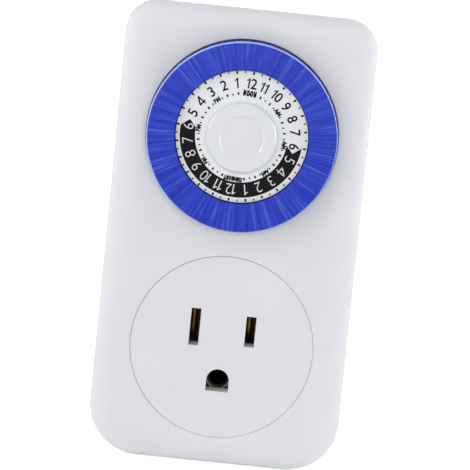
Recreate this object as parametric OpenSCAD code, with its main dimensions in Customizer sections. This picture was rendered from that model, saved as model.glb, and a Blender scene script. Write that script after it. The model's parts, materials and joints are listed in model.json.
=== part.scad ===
// Plug-in 24 hour mechanical timer switch.
// Every piece is drawn in plan: x across, y up the wall, z out from the wall.
// upright() then stands it up, so that the front face looks along -Y and the
// blades point along +Y. The origin is midway between the two flat blades, on the rear face.

/* [Housing] */
// Width across the front face
housing_w = 57.4; // [57:0.1:58.4]
// Height of the front face
housing_h = 104.6; // [104.2:0.2:105.6]
// Depth from the wall to the front face
housing_d = 36; // [36:0.5:38]
// Height of the face's middle above the blades
middle_y = 21; // [20.8:0.1:21.2]
// Wall thickness
wall = 2.2; // [1.8:0.1:2.4]
// Corner radius at the top
corner_top = 7.4; // [7:0.1:8]
// Corner radius at the bottom
corner_bottom = 11.7; // [11:0.1:12]
// Height of the joint between the two shells above the wall
split_z = 14; // [13:0.5:14.5]
// How much narrower each side is at the wall
side_taper = 2.5; // [2:0.1:2.6]
// How much shorter the top and the bottom are at the wall
end_taper = 4.2; // [3.8:0.1:4.3]
// Width of the soft edge along the sides
soft_side = 8; // [6:0.5:9]
// Width of the soft edge along the top and bottom
soft_end = 5; // [4:0.5:6]
// Depth of the soft edge
soft_depth = 3; // [2:0.5:3]

/* [Dial] */
// Height of the dial's axis above the blades
dial_y = 44.6; // [44.4:0.1:44.8]
// Outer radius of the ring of pins
pins_outer_r = 21.8; // [21.6:0.1:21.9]
// Inner radius of the ring of pins
pins_inner_r = 15.2; // [15.1:0.1:15.4]
// How far the pins stand in front of the face
pins_proud = 4.2; // [3.8:0.1:4.4]
// How far a pin is pushed in
pin_travel = 2.5; // [2.2:0.1:2.5]
// Gap between two pins
pin_gap = 0.12; // [0.1:0.01:0.2]
// Direction of noon at rest, counted from +X
noon_angle = 84.375; // [84.375]
// Radius of the hub cap
hub_cap_r = 8.1; // [7.8:0.1:8.4]
// Depth of the number disc behind the pins' fronts
disc_sunk = 1.2; // [0.8:0.1:1.4]
// Height of the hub cap above the number disc
hub_cap_proud = 1.5; // [1.2:0.1:1.8]

/* [Outlet and plug] */
// Distance between the flat blades
blade_spacing = 12.7; // [12.7]
// Distance of the ground pin below the flat blades
ground_drop = 11.9; // [11.9]
// Thickness of the flat blades
blade_t = 1.5; // [1.5]
// Height of the neutral blade
neutral_h = 7.94; // [7.94]
// Height of the line blade
line_h = 6.35; // [6.35]
// Length of the flat blades
blade_l = 17.5; // [16:0.5:18]
// Radius of the ground pin
ground_r = 2.38; // [2.38]
// Length of the ground pin
ground_l = 21.4; // [20:0.1:21.4]
// Radius of the outlet's insert
insert_r = 20.7; // [20.4:0.1:20.8]
// Height of the insert's middle above the blades
insert_y = -3.9; // [-4.1:0.1:-3.7]

/* [Gear train] */
// Leaves of every pinion
pinion_n = 8; // [8]
// Teeth of the first two wheels
fast_n = 60; // [60]
// Teeth of the third to fifth wheels
slow_n = 64; // [64]
// Teeth of the drive wheel
drive_n = 120; // [120]
// Tooth module of the first four meshes
fine_m = 0.25; // [0.25]
// Tooth module of the last two meshes
coarse_m = 0.27; // [0.27]
// Radius of the steel arbors
arbor_r = 0.35; // [0.3:0.01:0.36]

/* [Hidden] */
$fn = 64;
hours = 24;
pins_per_hour = 2;
pin_pitch = 360 / hours / pins_per_hour;

function hour_node(h) = str("pins_hour_", h < 10 ? "0" : "", h);

// Clearances
run_fit = 0.05;
seat_fit = 0.05;
pivot_fit = 0.03;
see_gap = 0.15;
cut = 0.5;

// Heights above the wall
front_z = housing_d;
face_back_z = front_z - wall;
widest_z = front_z - soft_depth;
plate_z = 18;
plate_t = 2;
drive_z = 21.6;
drive_t = 2;
foot_z = 27;
barb_t = 1.05;
head_z = front_z - 0.2;
head_top_z = front_z + pins_proud;
ring_top_z = head_z - pin_travel - 0.3;
ring_bottom_z = foot_z + barb_t + run_fit;
disc_top_z = head_top_z - disc_sunk;
disc_t = 0.8;
deck_top_z = disc_top_z - disc_t - seat_fit;
deck_t = 1.5;
post_r = 3;
post_top_z = front_z - 0.5;
hub_r = 5.2;
hub_z = 25.2;

// Housing
half_w = housing_w / 2;
top_y = middle_y + housing_h / 2;
bottom_y = middle_y - housing_h / 2;
reveal = 0.3;
soft_steps = 6;
slab = 0.02;
cavity_half_w = half_w - side_taper - wall + 0.1;
cavity_top_y = top_y - end_taper - wall + 0.1;
cavity_bottom_y = bottom_y + end_taper + wall - 0.1;
lip_h = 1.2;
lip_t = 0.9;
screw_spots = [[-20.2, 64.4], [20.2, 64.4], [-20.2, -22.6], [20.2, -22.6]];
boss_r = 3;
screw_r = 1.2;
screw_head_r = 2.4;
screw_head_t = 1.6;
screw_sink = 4;
screw_reach = 24;
dial_hole_r = 22.2;

// Pins
stem_in_r = 17.2;
stem_out_r = 20.2;
stem_t = 1.2;
barb_out = 0.6;
slot_ease = 0.1;
head_chamfer = 0.35;
carrier_in_r = 13.9;
carrier_out_r = 21.9;
flange_r = 22.9;
flange_z = ring_top_z - 2.7;
flange_t = 2.4;
deck_r = 14.9;
disc_r = 14.95;

// Outlet
hole_r = insert_r + see_gap;
insert_back_z = front_z - 5;
insert_flange_r = 21.9;
slot_w = 2.24;
neutral_slot_h = 8.5;
line_slot_h = 7;
ground_hole_w = 5.2;
ground_hole_flat = 2.5;
root_t = 2.1;
root_top_z = wall + root_t;
ground_root_r = ground_r + 0.35;
strip_t = 0.6;
clip_base_z = 14.4;
clip_top_z = insert_back_z - 0.4;
clip_gap = 1.7;

// Gear train: where the arbors stand in plan
function polar(r, a) = [r * cos(a), r * sin(a)];
function distance(n, m) = (n + pinion_n) * m / 2;
function heading(a, b) = atan2(b[1] - a[1], b[0] - a[0]);
dial_xy = [0, dial_y];
fifth_xy = dial_xy + polar(distance(drive_n, coarse_m), 30);
third_xy = fifth_xy - polar(18.6, -7);
second_xy = third_xy - polar(distance(slow_n, fine_m), 36);
first_xy = second_xy - polar(distance(fast_n, fine_m), 68);
rotor_xy = first_xy - polar(distance(fast_n, fine_m), 111.4);
third_reach = distance(slow_n, fine_m);
fifth_reach = distance(slow_n, coarse_m);
span = norm(fifth_xy - third_xy);
along = (third_reach * third_reach - fifth_reach * fifth_reach + span * span) / (2 * span);
aside = sqrt(third_reach * third_reach - along * along);
fourth_xy = third_xy + polar(along, heading(third_xy, fifth_xy))
  + polar(aside, heading(third_xy, fifth_xy) + 90);
wheel_t = 1;
level = 2;
first_z = 16;
second_z = first_z - level;
third_z = second_z - level;
fourth_z = third_z - level;
fifth_z = fourth_z - level;
collar_r = 0.62;
gear_bore_r = arbor_r + pivot_fit;
collar_top_z = plate_z - 0.3;
journal_r = 1.3;
arbor_root_z = 1;

// Motor
can_r = 12.4;
can_t = 0.6;
can_z = wall + 0.2;
can_top_z = 9.4;
pole_count = 12;
pole_r = 7;
pole_t = 0.5;
pole_w = 1.2;
magnet_r = 6.6;

// Switch
follower_angle = noon_angle - 8.5 * 360 / hours;
follower_r = 19;
tip_xy = dial_xy + polar(follower_r, follower_angle);
pivot_y = dial_y - 24.1;
pivot_z = 22.4;
lever_w = 2.25;
ear_x = [tip_xy[0] - 2.1, tip_xy[0] + 3.2];
ear_t = 1.2;
pivot_r = 0.8;
leaf_root_y = pivot_y - 12.5;
leaf_z = 24.3;
leaf_t = 0.25;
point_y = pivot_y - 4;
point_r = 1.4;
point_dome = 3;

pillar_spots = [[-21, 56], [20.5, 38], [4.5, 24]];
pillar_r = 2;
small_screw_r = 0.82;

module upright() {
  rotate([90, 0, 0]) children();
}

module at(xy, z = 0) {
  translate([xy[0], xy[1], z]) children();
}

module tube(r_out, r_in, z, h) {
  translate([0, 0, z]) difference() {
    cylinder(r = r_out, h = h);
    translate([0, 0, -cut]) cylinder(r = r_in, h = h + 2 * cut);
  }
}

// ---- Housing ----

module round_slab(dx, dy, z, t) {
  r_top = max(corner_top - (dx + dy) / 2, 0.8);
  r_bottom = max(corner_bottom - (dx + dy) / 2, 0.8);
  x = half_w - dx;
  for (s = [-1, 1]) {
    translate([s * (x - r_top), top_y - dy - r_top, z]) cylinder(r = r_top, h = t, $fn = 40);
    translate([s * (x - r_bottom), bottom_y + dy + r_bottom, z]) cylinder(r = r_bottom, h = t, $fn = 48);
  }
}

function taper_at(z) = (widest_z - z) / widest_z;

// The outside from height z_low to height z_high, below the soft front edge
module tapered_block(z_low, z_high, step) {
  hull() {
    round_slab(side_taper * taper_at(z_low) + step, end_taper * taper_at(z_low) + step, z_low, slab);
    round_slab(side_taper * taper_at(z_high) + step, end_taper * taper_at(z_high) + step,
      z_high - slab, slab);
  }
}

// The outside from the joint to the front face, with its soft edge
module front_block() {
  hull() {
    round_slab(side_taper * taper_at(split_z), end_taper * taper_at(split_z), split_z, slab);
    for (i = [0:soft_steps]) {
      a = 90 * i / soft_steps;
      round_slab(soft_side * (1 - sin(a)), soft_end * (1 - sin(a)),
        front_z - slab - soft_depth * (1 - cos(a)), slab);
    }
  }
}

module cavity_outline(grow = 0) {
  r_top = 5 + grow;
  r_bottom = 8 + grow;
  x = cavity_half_w + grow;
  top = cavity_top_y + grow;
  bottom = cavity_bottom_y - grow;
  union() {
    translate([-x + r_top, middle_y]) square([2 * (x - r_top), top - middle_y]);
    translate([-x + r_bottom, bottom]) square([2 * (x - r_bottom), middle_y - bottom]);
    translate([-x, bottom + r_bottom]) square([2 * x, top - r_top - bottom - r_bottom]);
    for (s = [-1, 1]) {
      translate([s * (x - r_top), top - r_top]) circle(r = r_top);
      translate([s * (x - r_bottom), bottom + r_bottom]) circle(r = r_bottom);
    }
  }
}

module front_housing() {
  color([0.93, 0.93, 0.95]) upright() difference() {
    union() {
      difference() {
        front_block();
        translate([0, 0, split_z - cut]) linear_extrude(face_back_z - split_z + cut) cavity_outline(1);
      }
      for (p = screw_spots) at(p, split_z) cylinder(r = boss_r, h = face_back_z - split_z + cut);
    }
    at(dial_xy, face_back_z - cut) cylinder(r = dial_hole_r, h = wall + 2 * cut);
    at([0, insert_y], face_back_z - cut) cylinder(r = hole_r, h = wall + 2 * cut);
    for (p = screw_spots) at(p, split_z - cut) cylinder(r = screw_r + seat_fit, h = screw_reach - split_z + 1);
  }
}

module blade_slot(x, h) {
  translate([x - blade_t / 2 - seat_fit, -h / 2 - seat_fit, -cut])
    cube([blade_t + 2 * seat_fit, h + 2 * seat_fit, wall + 2 * cut]);
}

module rear_housing() {
  color([0.93, 0.93, 0.95]) upright() difference() {
    union() {
      difference() {
        union() {
          tapered_block(0, split_z, reveal);
          translate([0, 0, split_z - cut]) linear_extrude(lip_h + cut) cavity_outline(lip_t);
        }
        translate([0, 0, wall]) linear_extrude(split_z + lip_h) cavity_outline();
      }
      for (p = screw_spots) at(p, wall - cut) cylinder(r = boss_r, h = split_z - wall + cut);
      for (p = pillar_spots) at(p, wall - cut) cylinder(r = pillar_r, h = plate_z - wall + cut);
      for (p = [second_xy, third_xy, fourth_xy, fifth_xy]) at(p, wall - cut) cylinder(r = 1.5, h = 1 + cut);
    }
    blade_slot(-blade_spacing / 2, neutral_h);
    blade_slot(blade_spacing / 2, line_h);
    at([0, -ground_drop], -cut) cylinder(r = ground_root_r + seat_fit, h = wall + 2 * cut);
    for (p = screw_spots) {
      at(p, -cut) cylinder(r = screw_head_r + see_gap, h = screw_sink + cut);
      at(p, 0) cylinder(r = screw_r + see_gap, h = split_z + cut);
      at(p, split_z) cylinder(r = boss_r + see_gap, h = lip_h + cut);
    }
    for (p = pillar_spots) at(p, plate_z - 8) cylinder(r = small_screw_r + seat_fit, h = 8 + cut);
    for (p = [second_xy, third_xy, fourth_xy, fifth_xy])
      at(p, arbor_root_z - seat_fit) cylinder(r = arbor_r + pivot_fit / 2, h = 4);
  }
}

module cross_recess(r, t) {
  for (a = [0, 90]) rotate([0, 0, a]) translate([-r, -0.25, 0]) cube([2 * r, 0.5, t]);
}

module housing_screws() {
  color([0.72, 0.72, 0.74]) upright() for (p = screw_spots) at(p) difference() {
    union() {
      translate([0, 0, screw_sink - screw_head_t]) cylinder(r = screw_head_r, h = screw_head_t);
      cylinder_from(screw_r, screw_sink - cut, screw_reach);
    }
    translate([0, 0, screw_sink - screw_head_t - cut]) cross_recess(1.3, 1.4);
  }
}

module cylinder_from(r, z0, z1) {
  translate([0, 0, z0]) cylinder(r = r, h = z1 - z0);
}

// ---- Outlet and plug ----

module ground_hole_outline() {
  union() {
    circle(r = ground_hole_w / 2);
    translate([-ground_hole_w / 2, -ground_hole_flat]) square([ground_hole_w, ground_hole_flat]);
  }
}

module outlet_face() {
  color([0.93, 0.93, 0.95]) upright() difference() {
    at([0, insert_y]) union() {
      cylinder_from(insert_r, insert_back_z, front_z);
      cylinder_from(insert_flange_r, insert_back_z, face_back_z - run_fit);
    }
    translate([-blade_spacing / 2 - slot_w / 2, -neutral_slot_h / 2, insert_back_z - cut])
      cube([slot_w, neutral_slot_h, 5 + 2 * cut]);
    translate([blade_spacing / 2 - slot_w / 2, -line_slot_h / 2, insert_back_z - cut])
      cube([slot_w, line_slot_h, 5 + 2 * cut]);
    translate([0, -ground_drop, insert_back_z - cut])
      linear_extrude(5 + 2 * cut) ground_hole_outline();
  }
}

module flat_blade(h) {
  tip = 1.2;
  nip = 0.35;
  hole_z = -11.9;
  difference() {
    union() {
      translate([0, -h / 2, 0]) rotate([90, 0, 0]) mirror([0, 0, 1]) linear_extrude(h)
        polygon([[-blade_t / 2, root_top_z], [-blade_t / 2, tip - blade_l], [-blade_t / 2 + nip, -blade_l],
          [blade_t / 2 - nip, -blade_l], [blade_t / 2, tip - blade_l], [blade_t / 2, root_top_z]]);
      translate([-blade_t, -h / 2 - 0.8, wall]) cube([2 * blade_t, h + 1.6, root_t]);
    }
    translate([-2, 0, hole_z]) rotate([0, 90, 0]) cylinder(r = 1.6, h = 4);
  }
}

module neutral_blade() {
  color([0.78, 0.66, 0.36]) upright() translate([-blade_spacing / 2, 0, 0]) flat_blade(neutral_h);
}

module line_blade() {
  color([0.78, 0.66, 0.36]) upright() translate([blade_spacing / 2, 0, 0]) flat_blade(line_h);
}

module ground_pin() {
  color([0.78, 0.66, 0.36]) upright() translate([0, -ground_drop, 0]) union() {
    translate([0, 0, ground_r - ground_l]) sphere(r = ground_r);
    cylinder_from(ground_r, ground_r - ground_l, 0.2);
    cylinder_from(ground_root_r, 0, root_top_z);
    cylinder_from(ground_root_r + 0.6, wall, root_top_z);
  }
}

// A sprung clip seen from its edge: it narrows to the grip, then flares out at the mouth
module clip_side(s) {
  in_x = clip_gap / 2;
  grip_z = clip_top_z - 4;
  polygon([for (p = [[in_x + 0.5, clip_base_z], [in_x + 0.5 + strip_t, clip_base_z],
    [in_x + strip_t, grip_z], [in_x + strip_t + 0.7, clip_top_z], [in_x + 0.7, clip_top_z], [in_x, grip_z]])
    [s * p[0], p[1]]]);
}

module contact_clip(h) {
  rotate([90, 0, 0]) translate([0, 0, -h / 2]) linear_extrude(h) union() {
    clip_side(1);
    clip_side(-1);
    translate([-clip_gap / 2 - 0.5 - strip_t, clip_base_z]) square([clip_gap + 1 + 2 * strip_t, strip_t]);
  }
}

module neutral_contact() {
  color([0.80, 0.62, 0.30]) upright() translate([-blade_spacing / 2, 0, 0]) union() {
    contact_clip(6.6);
    translate([-strip_t / 2, -3, root_top_z]) cube([strip_t, 6, clip_base_z - root_top_z + 0.2]);
  }
}

module line_contact() {
  arm_end = tip_xy[0] + 1.3;
  arm_start = blade_spacing / 2 + clip_gap / 2 + 0.4;
  color([0.80, 0.62, 0.30]) upright() union() {
    translate([blade_spacing / 2, 0, 0]) contact_clip(6.6);
    translate([arm_start, -2.5, leaf_z - strip_t]) cube([arm_end - arm_start, leaf_root_y + 2.4, strip_t]);
  }
}

module ground_contact() {
  in_r = ground_r + 0.1;
  low = clip_base_z - strip_t;
  base_r = in_r + strip_t + 0.3;
  color([0.80, 0.62, 0.30]) upright() translate([0, -ground_drop, 0]) union() {
    for (a = [0, 180]) rotate([0, 0, a - 60]) translate([0, 0, low + strip_t / 2])
      rotate_extrude(angle = 120) translate([in_r, 0]) square([strip_t, clip_top_z - low - strip_t / 2]);
    cylinder_from(base_r, low, clip_base_z);
  }
}

// The strip from the ground pin's root to the ground contact, bent over at both ends
module ground_strap() {
  strap_w = 4;
  high = clip_base_z - strip_t;
  color([0.80, 0.62, 0.30]) upright() translate([-strap_w / 2, -ground_drop - strap_w / 2, 0]) union() {
    translate([0, 0, root_top_z]) cube([strap_w, strap_w, strip_t]);
    translate([0, 0, root_top_z]) cube([strap_w, strip_t, high - root_top_z]);
    translate([0, 0, high - strip_t]) cube([strap_w, strap_w, strip_t]);
  }
}

// ---- Motor ----

module pole_fingers(turn, z, h) {
  for (k = [0:pole_count - 1]) rotate([0, 0, turn + k * 360 / pole_count])
    translate([pole_r, -pole_w / 2, z]) cube([pole_t, pole_w, h]);
}

module motor_can() {
  color([0.70, 0.71, 0.73]) upright() at(rotor_xy) difference() {
    union() {
      tube(can_r, can_r - can_t, can_z, can_top_z - can_t - seat_fit - can_z);
      cylinder_from(can_r - can_t / 2, can_z, can_z + can_t);
      pole_fingers(0, can_z + can_t / 2, 5.2);
    }
    translate([0, 0, can_z - cut]) cylinder(r = gear_bore_r, h = 2);
  }
}

module stator_cover() {
  color([0.66, 0.67, 0.70]) upright() difference() {
    at(rotor_xy) union() {
      cylinder_from(can_r, can_top_z - can_t, can_top_z);
      pole_fingers(180 / pole_count, can_top_z - 5.4, 5.1);
    }
    at(rotor_xy, 0) cylinder(r = 1.6, h = can_top_z + cut);
    at(first_xy, can_top_z - can_t - cut) cylinder(r = arbor_r + pivot_fit / 2, h = 2);
  }
}

module coil_bobbin() {
  inner = pole_r + pole_t + 0.2;
  low = can_z + can_t + 0.1;
  high = can_top_z - can_t - 0.15;
  color([0.92, 0.90, 0.84]) upright() at(rotor_xy) union() {
    tube(inner + 0.6, inner, low, high - low);
    tube(can_r - can_t - 0.2, inner, low, 0.5);
    tube(can_r - can_t - 0.2, inner, high - 0.5, 0.5);
  }
}

module coil_winding() {
  inner = pole_r + pole_t + 0.85;
  low = can_z + can_t + 0.65;
  high = can_top_z - can_t - 0.7;
  color([0.72, 0.38, 0.18]) upright() at(rotor_xy) tube(can_r - can_t - 0.6, inner, low, high - low);
}

module wire(points, r) {
  for (i = [0:len(points) - 2]) {
    d = points[i + 1] - points[i];
    translate(points[i]) rotate([0, acos(d[2] / norm(d)), atan2(d[1], d[0])]) cylinder(r = r, h = norm(d));
  }
  for (i = [1:len(points) - 2]) translate(points[i]) sphere(r = r * 1.15);
}

module coil_leads() {
  lead_r = 0.5;
  out = rotor_xy + polar(can_r + 0.6, -80);
  neutral_end = [-blade_spacing / 2 - strip_t - 0.25, 2, 8];
  line_end = [20.1, 1, 8];
  color([0.80, 0.20, 0.15]) upright() union() {
    wire([[out[0] - 2, out[1] + 0.4, 6], [out[0] - 2, 12, 6], neutral_end], lead_r);
    wire([[out[0] + 1, out[1], 6], [2, 14, 6], [15, 10, 7], line_end], lead_r);
  }
}

module rotor_magnet() {
  color([0.22, 0.22, 0.24]) upright() at(rotor_xy) tube(magnet_r, 1, can_z + 1.2, 4.8);
}

module rotor_pinion() {
  color([0.60, 0.60, 0.62]) upright() at(rotor_xy) union() {
    cylinder_from(arbor_r, can_z + 0.1, plate_z + plate_t - 0.4);
    cylinder_from(1 - pivot_fit / 2, can_z + 1.2, can_z + 6);
    rotate([0, 0, heading(rotor_xy, first_xy)]) translate([0, 0, first_z - 0.8])
      linear_extrude(wheel_t + 1.2) pinion_outline(fine_m);
  }
}

// ---- Gears ----

// One tooth's points, as [radius, share of the half thickness], from one root to the other
function tooth_points(pitch_r, high, deep) = [
  [pitch_r - deep, 1], [pitch_r, 1], [pitch_r + high * 0.55, 0.72], [pitch_r + high, 0.3],
  [pitch_r + high, -0.3], [pitch_r + high * 0.55, -0.72], [pitch_r, -1], [pitch_r - deep, -1]];

// The first tooth points along +X
function gear_points(n, m, thick, high, deep) = [
  for (k = [0:n - 1]) for (p = tooth_points(n * m / 2, high * m, deep * m))
    polar(p[0], k * 360 / n - p[1] * thick * 180 / n)];

module pinion_outline(m) {
  polygon(gear_points(pinion_n, m, 0.38, 0.6, 1.2));
}

module wheel_outline(n, m) {
  polygon(gear_points(n, m, 0.42, 0.95, 0.9));
}

// A wheel with a gap at the direction given
module wheel(n, m, z, t, toward) {
  rotate([0, 0, toward + 180 / n]) translate([0, 0, z]) linear_extrude(t) wheel_outline(n, m);
}

// Five round holes between two radii, which leave spokes between them
module spokes_cut(r_in, r_out, z, t) {
  for (a = [0:72:288]) rotate([0, 0, a]) translate([(r_in + r_out) / 2, 0, z - cut])
    cylinder(r = (r_out - r_in) / 2 - 0.3, h = t + 2 * cut);
}

// A wheel and its pinion on one collar, turning on an arbor
module compound_gear(here, from, to, n, m, z, collar_low, next_m) {
  at(here) difference() {
    union() {
      difference() {
        wheel(n, m, z, wheel_t, heading(here, from));
        spokes_cut(2, n * m / 2 - 1.5, z, wheel_t);
      }
      cylinder_from(collar_r, collar_low, collar_top_z);
      cylinder_from(1.3, z, z + wheel_t);
      rotate([0, 0, heading(here, to)]) translate([0, 0, z - level - 0.4])
        linear_extrude(level + 0.4 + wheel_t / 2) pinion_outline(next_m);
    }
    translate([0, 0, collar_low - cut]) cylinder(r = gear_bore_r, h = collar_top_z - collar_low + 2 * cut);
  }
}

module first_gear() {
  color([0.95, 0.93, 0.86]) upright() compound_gear(first_xy, rotor_xy, second_xy, fast_n, fine_m,
    first_z, can_top_z + 0.3, fine_m);
}

module second_gear() {
  color([0.95, 0.93, 0.86]) upright() compound_gear(second_xy, first_xy, third_xy, fast_n, fine_m,
    second_z, wall + 1.3, fine_m);
}

module third_gear() {
  color([0.95, 0.93, 0.86]) upright() compound_gear(third_xy, second_xy, fourth_xy, slow_n, fine_m,
    third_z, wall + 1.3, fine_m);
}

module fourth_gear() {
  color([0.95, 0.93, 0.86]) upright() compound_gear(fourth_xy, third_xy, fifth_xy, slow_n, fine_m,
    fourth_z, wall + 1.3, coarse_m);
}

module fifth_gear() {
  top_z = drive_z + drive_t - 0.2;
  leaf_start_z = plate_z + plate_t + 0.3;
  color([0.95, 0.93, 0.86]) upright() at(fifth_xy) difference() {
    union() {
      difference() {
        wheel(slow_n, coarse_m, fifth_z, wheel_t, heading(fifth_xy, fourth_xy));
        spokes_cut(2, slow_n * coarse_m / 2 - 1.5, fifth_z, wheel_t);
      }
      cylinder_from(journal_r, wall + 1.3, leaf_start_z);
      cylinder_from(2, fifth_z, fifth_z + wheel_t);
      rotate([0, 0, heading(fifth_xy, dial_xy)]) translate([0, 0, leaf_start_z - cut])
        linear_extrude(top_z - leaf_start_z + cut) pinion_outline(coarse_m);
    }
    translate([0, 0, wall]) cylinder(r = gear_bore_r, h = top_z);
  }
}

module arbor(xy, z0, z1) {
  at(xy) cylinder_from(arbor_r, z0, z1);
}

module gear_arbors() {
  top_z = plate_z + plate_t - 0.4;
  color([0.62, 0.62, 0.64]) upright() union() {
    arbor(first_xy, can_top_z - can_t, top_z);
    arbor(second_xy, arbor_root_z, top_z);
    arbor(third_xy, arbor_root_z, top_z);
    arbor(fourth_xy, arbor_root_z, top_z);
    arbor(fifth_xy, arbor_root_z, drive_z + drive_t);
  }
}

module drive_wheel() {
  rim_in_r = 14.4;
  web_t = 1.2;
  color([0.95, 0.93, 0.86]) upright() at(dial_xy) difference() {
    wheel(drive_n, coarse_m, drive_z, drive_t, heading(dial_xy, fifth_xy));
    translate([0, 0, drive_z + web_t]) tube(rim_in_r, hub_r, 0, drive_t);
    spokes_cut(6.4, rim_in_r - 0.6, drive_z, drive_t);
    translate([0, 0, drive_z - cut]) cylinder(r = post_r + run_fit, h = drive_t + 2 * cut);
  }
}

// A flat ring with three bowed fingers that press on the dial's hub
module clutch_spring() {
  ring_t = 0.3;
  low = drive_z + drive_t;
  rise = hub_z - low - ring_t - 0.05;
  finger_w = 1.2;
  reach = 1.6;
  color([0.70, 0.71, 0.73]) upright() at(dial_xy, low) union() {
    tube(hub_r, post_r + 0.3, 0, ring_t);
    for (a = [0:120:240]) rotate([0, 0, a]) translate([3.7, finger_w / 2, 0]) rotate([90, 0, 0])
      linear_extrude(finger_w) polygon([[0, 0], [reach * 0.4, rise], [reach * 0.6, rise], [reach, 0],
        [reach, ring_t], [reach * 0.7, rise + ring_t], [reach * 0.3, rise + ring_t], [0, ring_t]]);
  }
}

module movement_plate() {
  low_y = pivot_y;
  high_y = dial_y + 16;
  color([0.88, 0.88, 0.86]) upright() difference() {
    union() {
      difference() {
        translate([-23.6, low_y, plate_z]) cube([47.2, high_y - low_y, plate_t]);
        translate([tip_xy[0] - 2.2, pivot_y + 5, plate_z - cut]) cube([4.4, 9.7, plate_t + 2 * cut]);
        translate([-24, low_y - cut, plate_z - cut]) cube([14, 6, plate_t + 2 * cut]);
      }
      at(dial_xy) cylinder_from(post_r, plate_z, post_top_z);
      at(dial_xy) cylinder_from(hub_r, plate_z, drive_z - 0.15);
      for (x = ear_x) translate([x - ear_t / 2, pivot_y - 1.8, plate_z]) cube([ear_t, 3.6, pivot_z + 1.8 - plate_z]);
      translate([ear_x[0], pivot_y - 1.8, plate_z]) cube([ear_x[1] - ear_x[0], 3, plate_t]);
    }
    for (p = [first_xy, second_xy, third_xy, fourth_xy])
      at(p, plate_z - cut) cylinder(r = arbor_r + pivot_fit / 2, h = plate_t + 2 * cut);
    at(rotor_xy, plate_z - cut) cylinder(r = gear_bore_r, h = plate_t + 2 * cut);
    at(fifth_xy, plate_z - cut) cylinder(r = journal_r + run_fit, h = plate_t + 2 * cut);
    for (p = pillar_spots) at(p, plate_z - cut) cylinder(r = screw_r, h = plate_t + 2 * cut);
    translate([0, pivot_y, pivot_z]) rotate([0, 90, 0]) cylinder(r = pivot_r + pivot_fit / 2, h = 30);
  }
}

module movement_screws() {
  head_z = plate_z + plate_t;
  color([0.72, 0.72, 0.74]) upright() for (p = pillar_spots) at(p) difference() {
    union() {
      cylinder_from(small_screw_r, plate_z - 7, head_z + cut);
      cylinder_from(1.9, head_z, head_z + 1.2);
    }
    translate([0, 0, head_z + 0.6]) cross_recess(1.1, 1);
  }
}

// ---- Dial ----

// All the slots' places, from noon round
module each_pin() {
  for (k = [0:hours * pins_per_hour - 1])
    rotate([0, 0, noon_angle + (k + 0.5) * pin_pitch]) children();
}

module pin_carrier() {
  color([0.16, 0.24, 0.62]) upright() at(dial_xy) difference() {
    union() {
      tube(carrier_out_r, carrier_in_r, ring_bottom_z, ring_top_z - ring_bottom_z);
      tube(flange_r, carrier_in_r, flange_z, flange_t);
      tube(deck_r, carrier_in_r, ring_bottom_z, deck_top_z - ring_bottom_z);
      cylinder_from(deck_r, deck_top_z - deck_t, deck_top_z);
      cylinder_from(hub_r, hub_z, deck_top_z);
    }
    cylinder_from(post_r + run_fit, hub_z - cut, deck_top_z + cut);
    each_pin() translate([stem_in_r - slot_ease, -stem_t / 2 - slot_ease, ring_bottom_z - cut])
      cube([stem_out_r - stem_in_r + 2 * slot_ease, stem_t + 2 * slot_ease, 8]);
  }
}

module number_disc() {
  color([0.95, 0.95, 0.93]) upright() at(dial_xy) tube(disc_r, hub_cap_r + run_fit, disc_top_z - disc_t, disc_t);
}

module hub_cap() {
  edge = 0.9;
  low = disc_top_z - disc_t;
  top = disc_top_z + hub_cap_proud;
  color([0.93, 0.93, 0.94]) upright() at(dial_xy) difference() {
    union() {
      cylinder_from(hub_cap_r, low, top - edge);
      cylinder_from(hub_cap_r - edge, low, top);
      translate([0, 0, top - edge]) rotate_extrude() translate([hub_cap_r - edge, 0]) intersection() {
        circle(r = edge);
        square(edge);
      }
      cylinder_from(post_r, post_top_z + 0.4, low + cut);
    }
    tube(5.5, 5.3, top - 0.15, 1);
  }
}

// A push pin's head seen from the side of the ring
module pin_head_side() {
  polygon([[pins_inner_r, head_z], [pins_outer_r, head_z], [pins_outer_r, head_top_z - head_chamfer],
    [pins_outer_r - head_chamfer, head_top_z], [pins_inner_r + 0.15, head_top_z],
    [pins_inner_r, head_top_z - 0.15]]);
}

function pin_half_w(r) = r * tan(pin_pitch / 2) - pin_gap / 2;

module push_pin() {
  union() {
    intersection() {
      translate([0, 3, 0]) rotate([90, 0, 0]) linear_extrude(6) pin_head_side();
      translate([0, 0, head_z - cut]) linear_extrude(head_top_z - head_z + 2 * cut) polygon([
        [pins_inner_r - cut, -pin_half_w(pins_inner_r - cut)],
        [pins_outer_r + cut, -pin_half_w(pins_outer_r + cut)],
        [pins_outer_r + cut, pin_half_w(pins_outer_r + cut)],
        [pins_inner_r - cut, pin_half_w(pins_inner_r - cut)]]);
    }
    translate([stem_in_r, -stem_t / 2, foot_z]) cube([stem_out_r - stem_in_r, stem_t, head_z + cut - foot_z]);
    translate([stem_in_r, -stem_t / 2, foot_z]) cube([stem_out_r + barb_out - stem_in_r, stem_t, barb_t]);
  }
}

// The two pins of one hour, counted from midnight
module hour_pins(h) {
  color([0.20, 0.28, 0.72]) upright() at(dial_xy) for (k = [0:pins_per_hour - 1])
    rotate([0, 0, noon_angle + (h - hours / 2) * 360 / hours + (k + 0.5) * pin_pitch]) push_pin();
}

// ---- Switch ----

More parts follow.
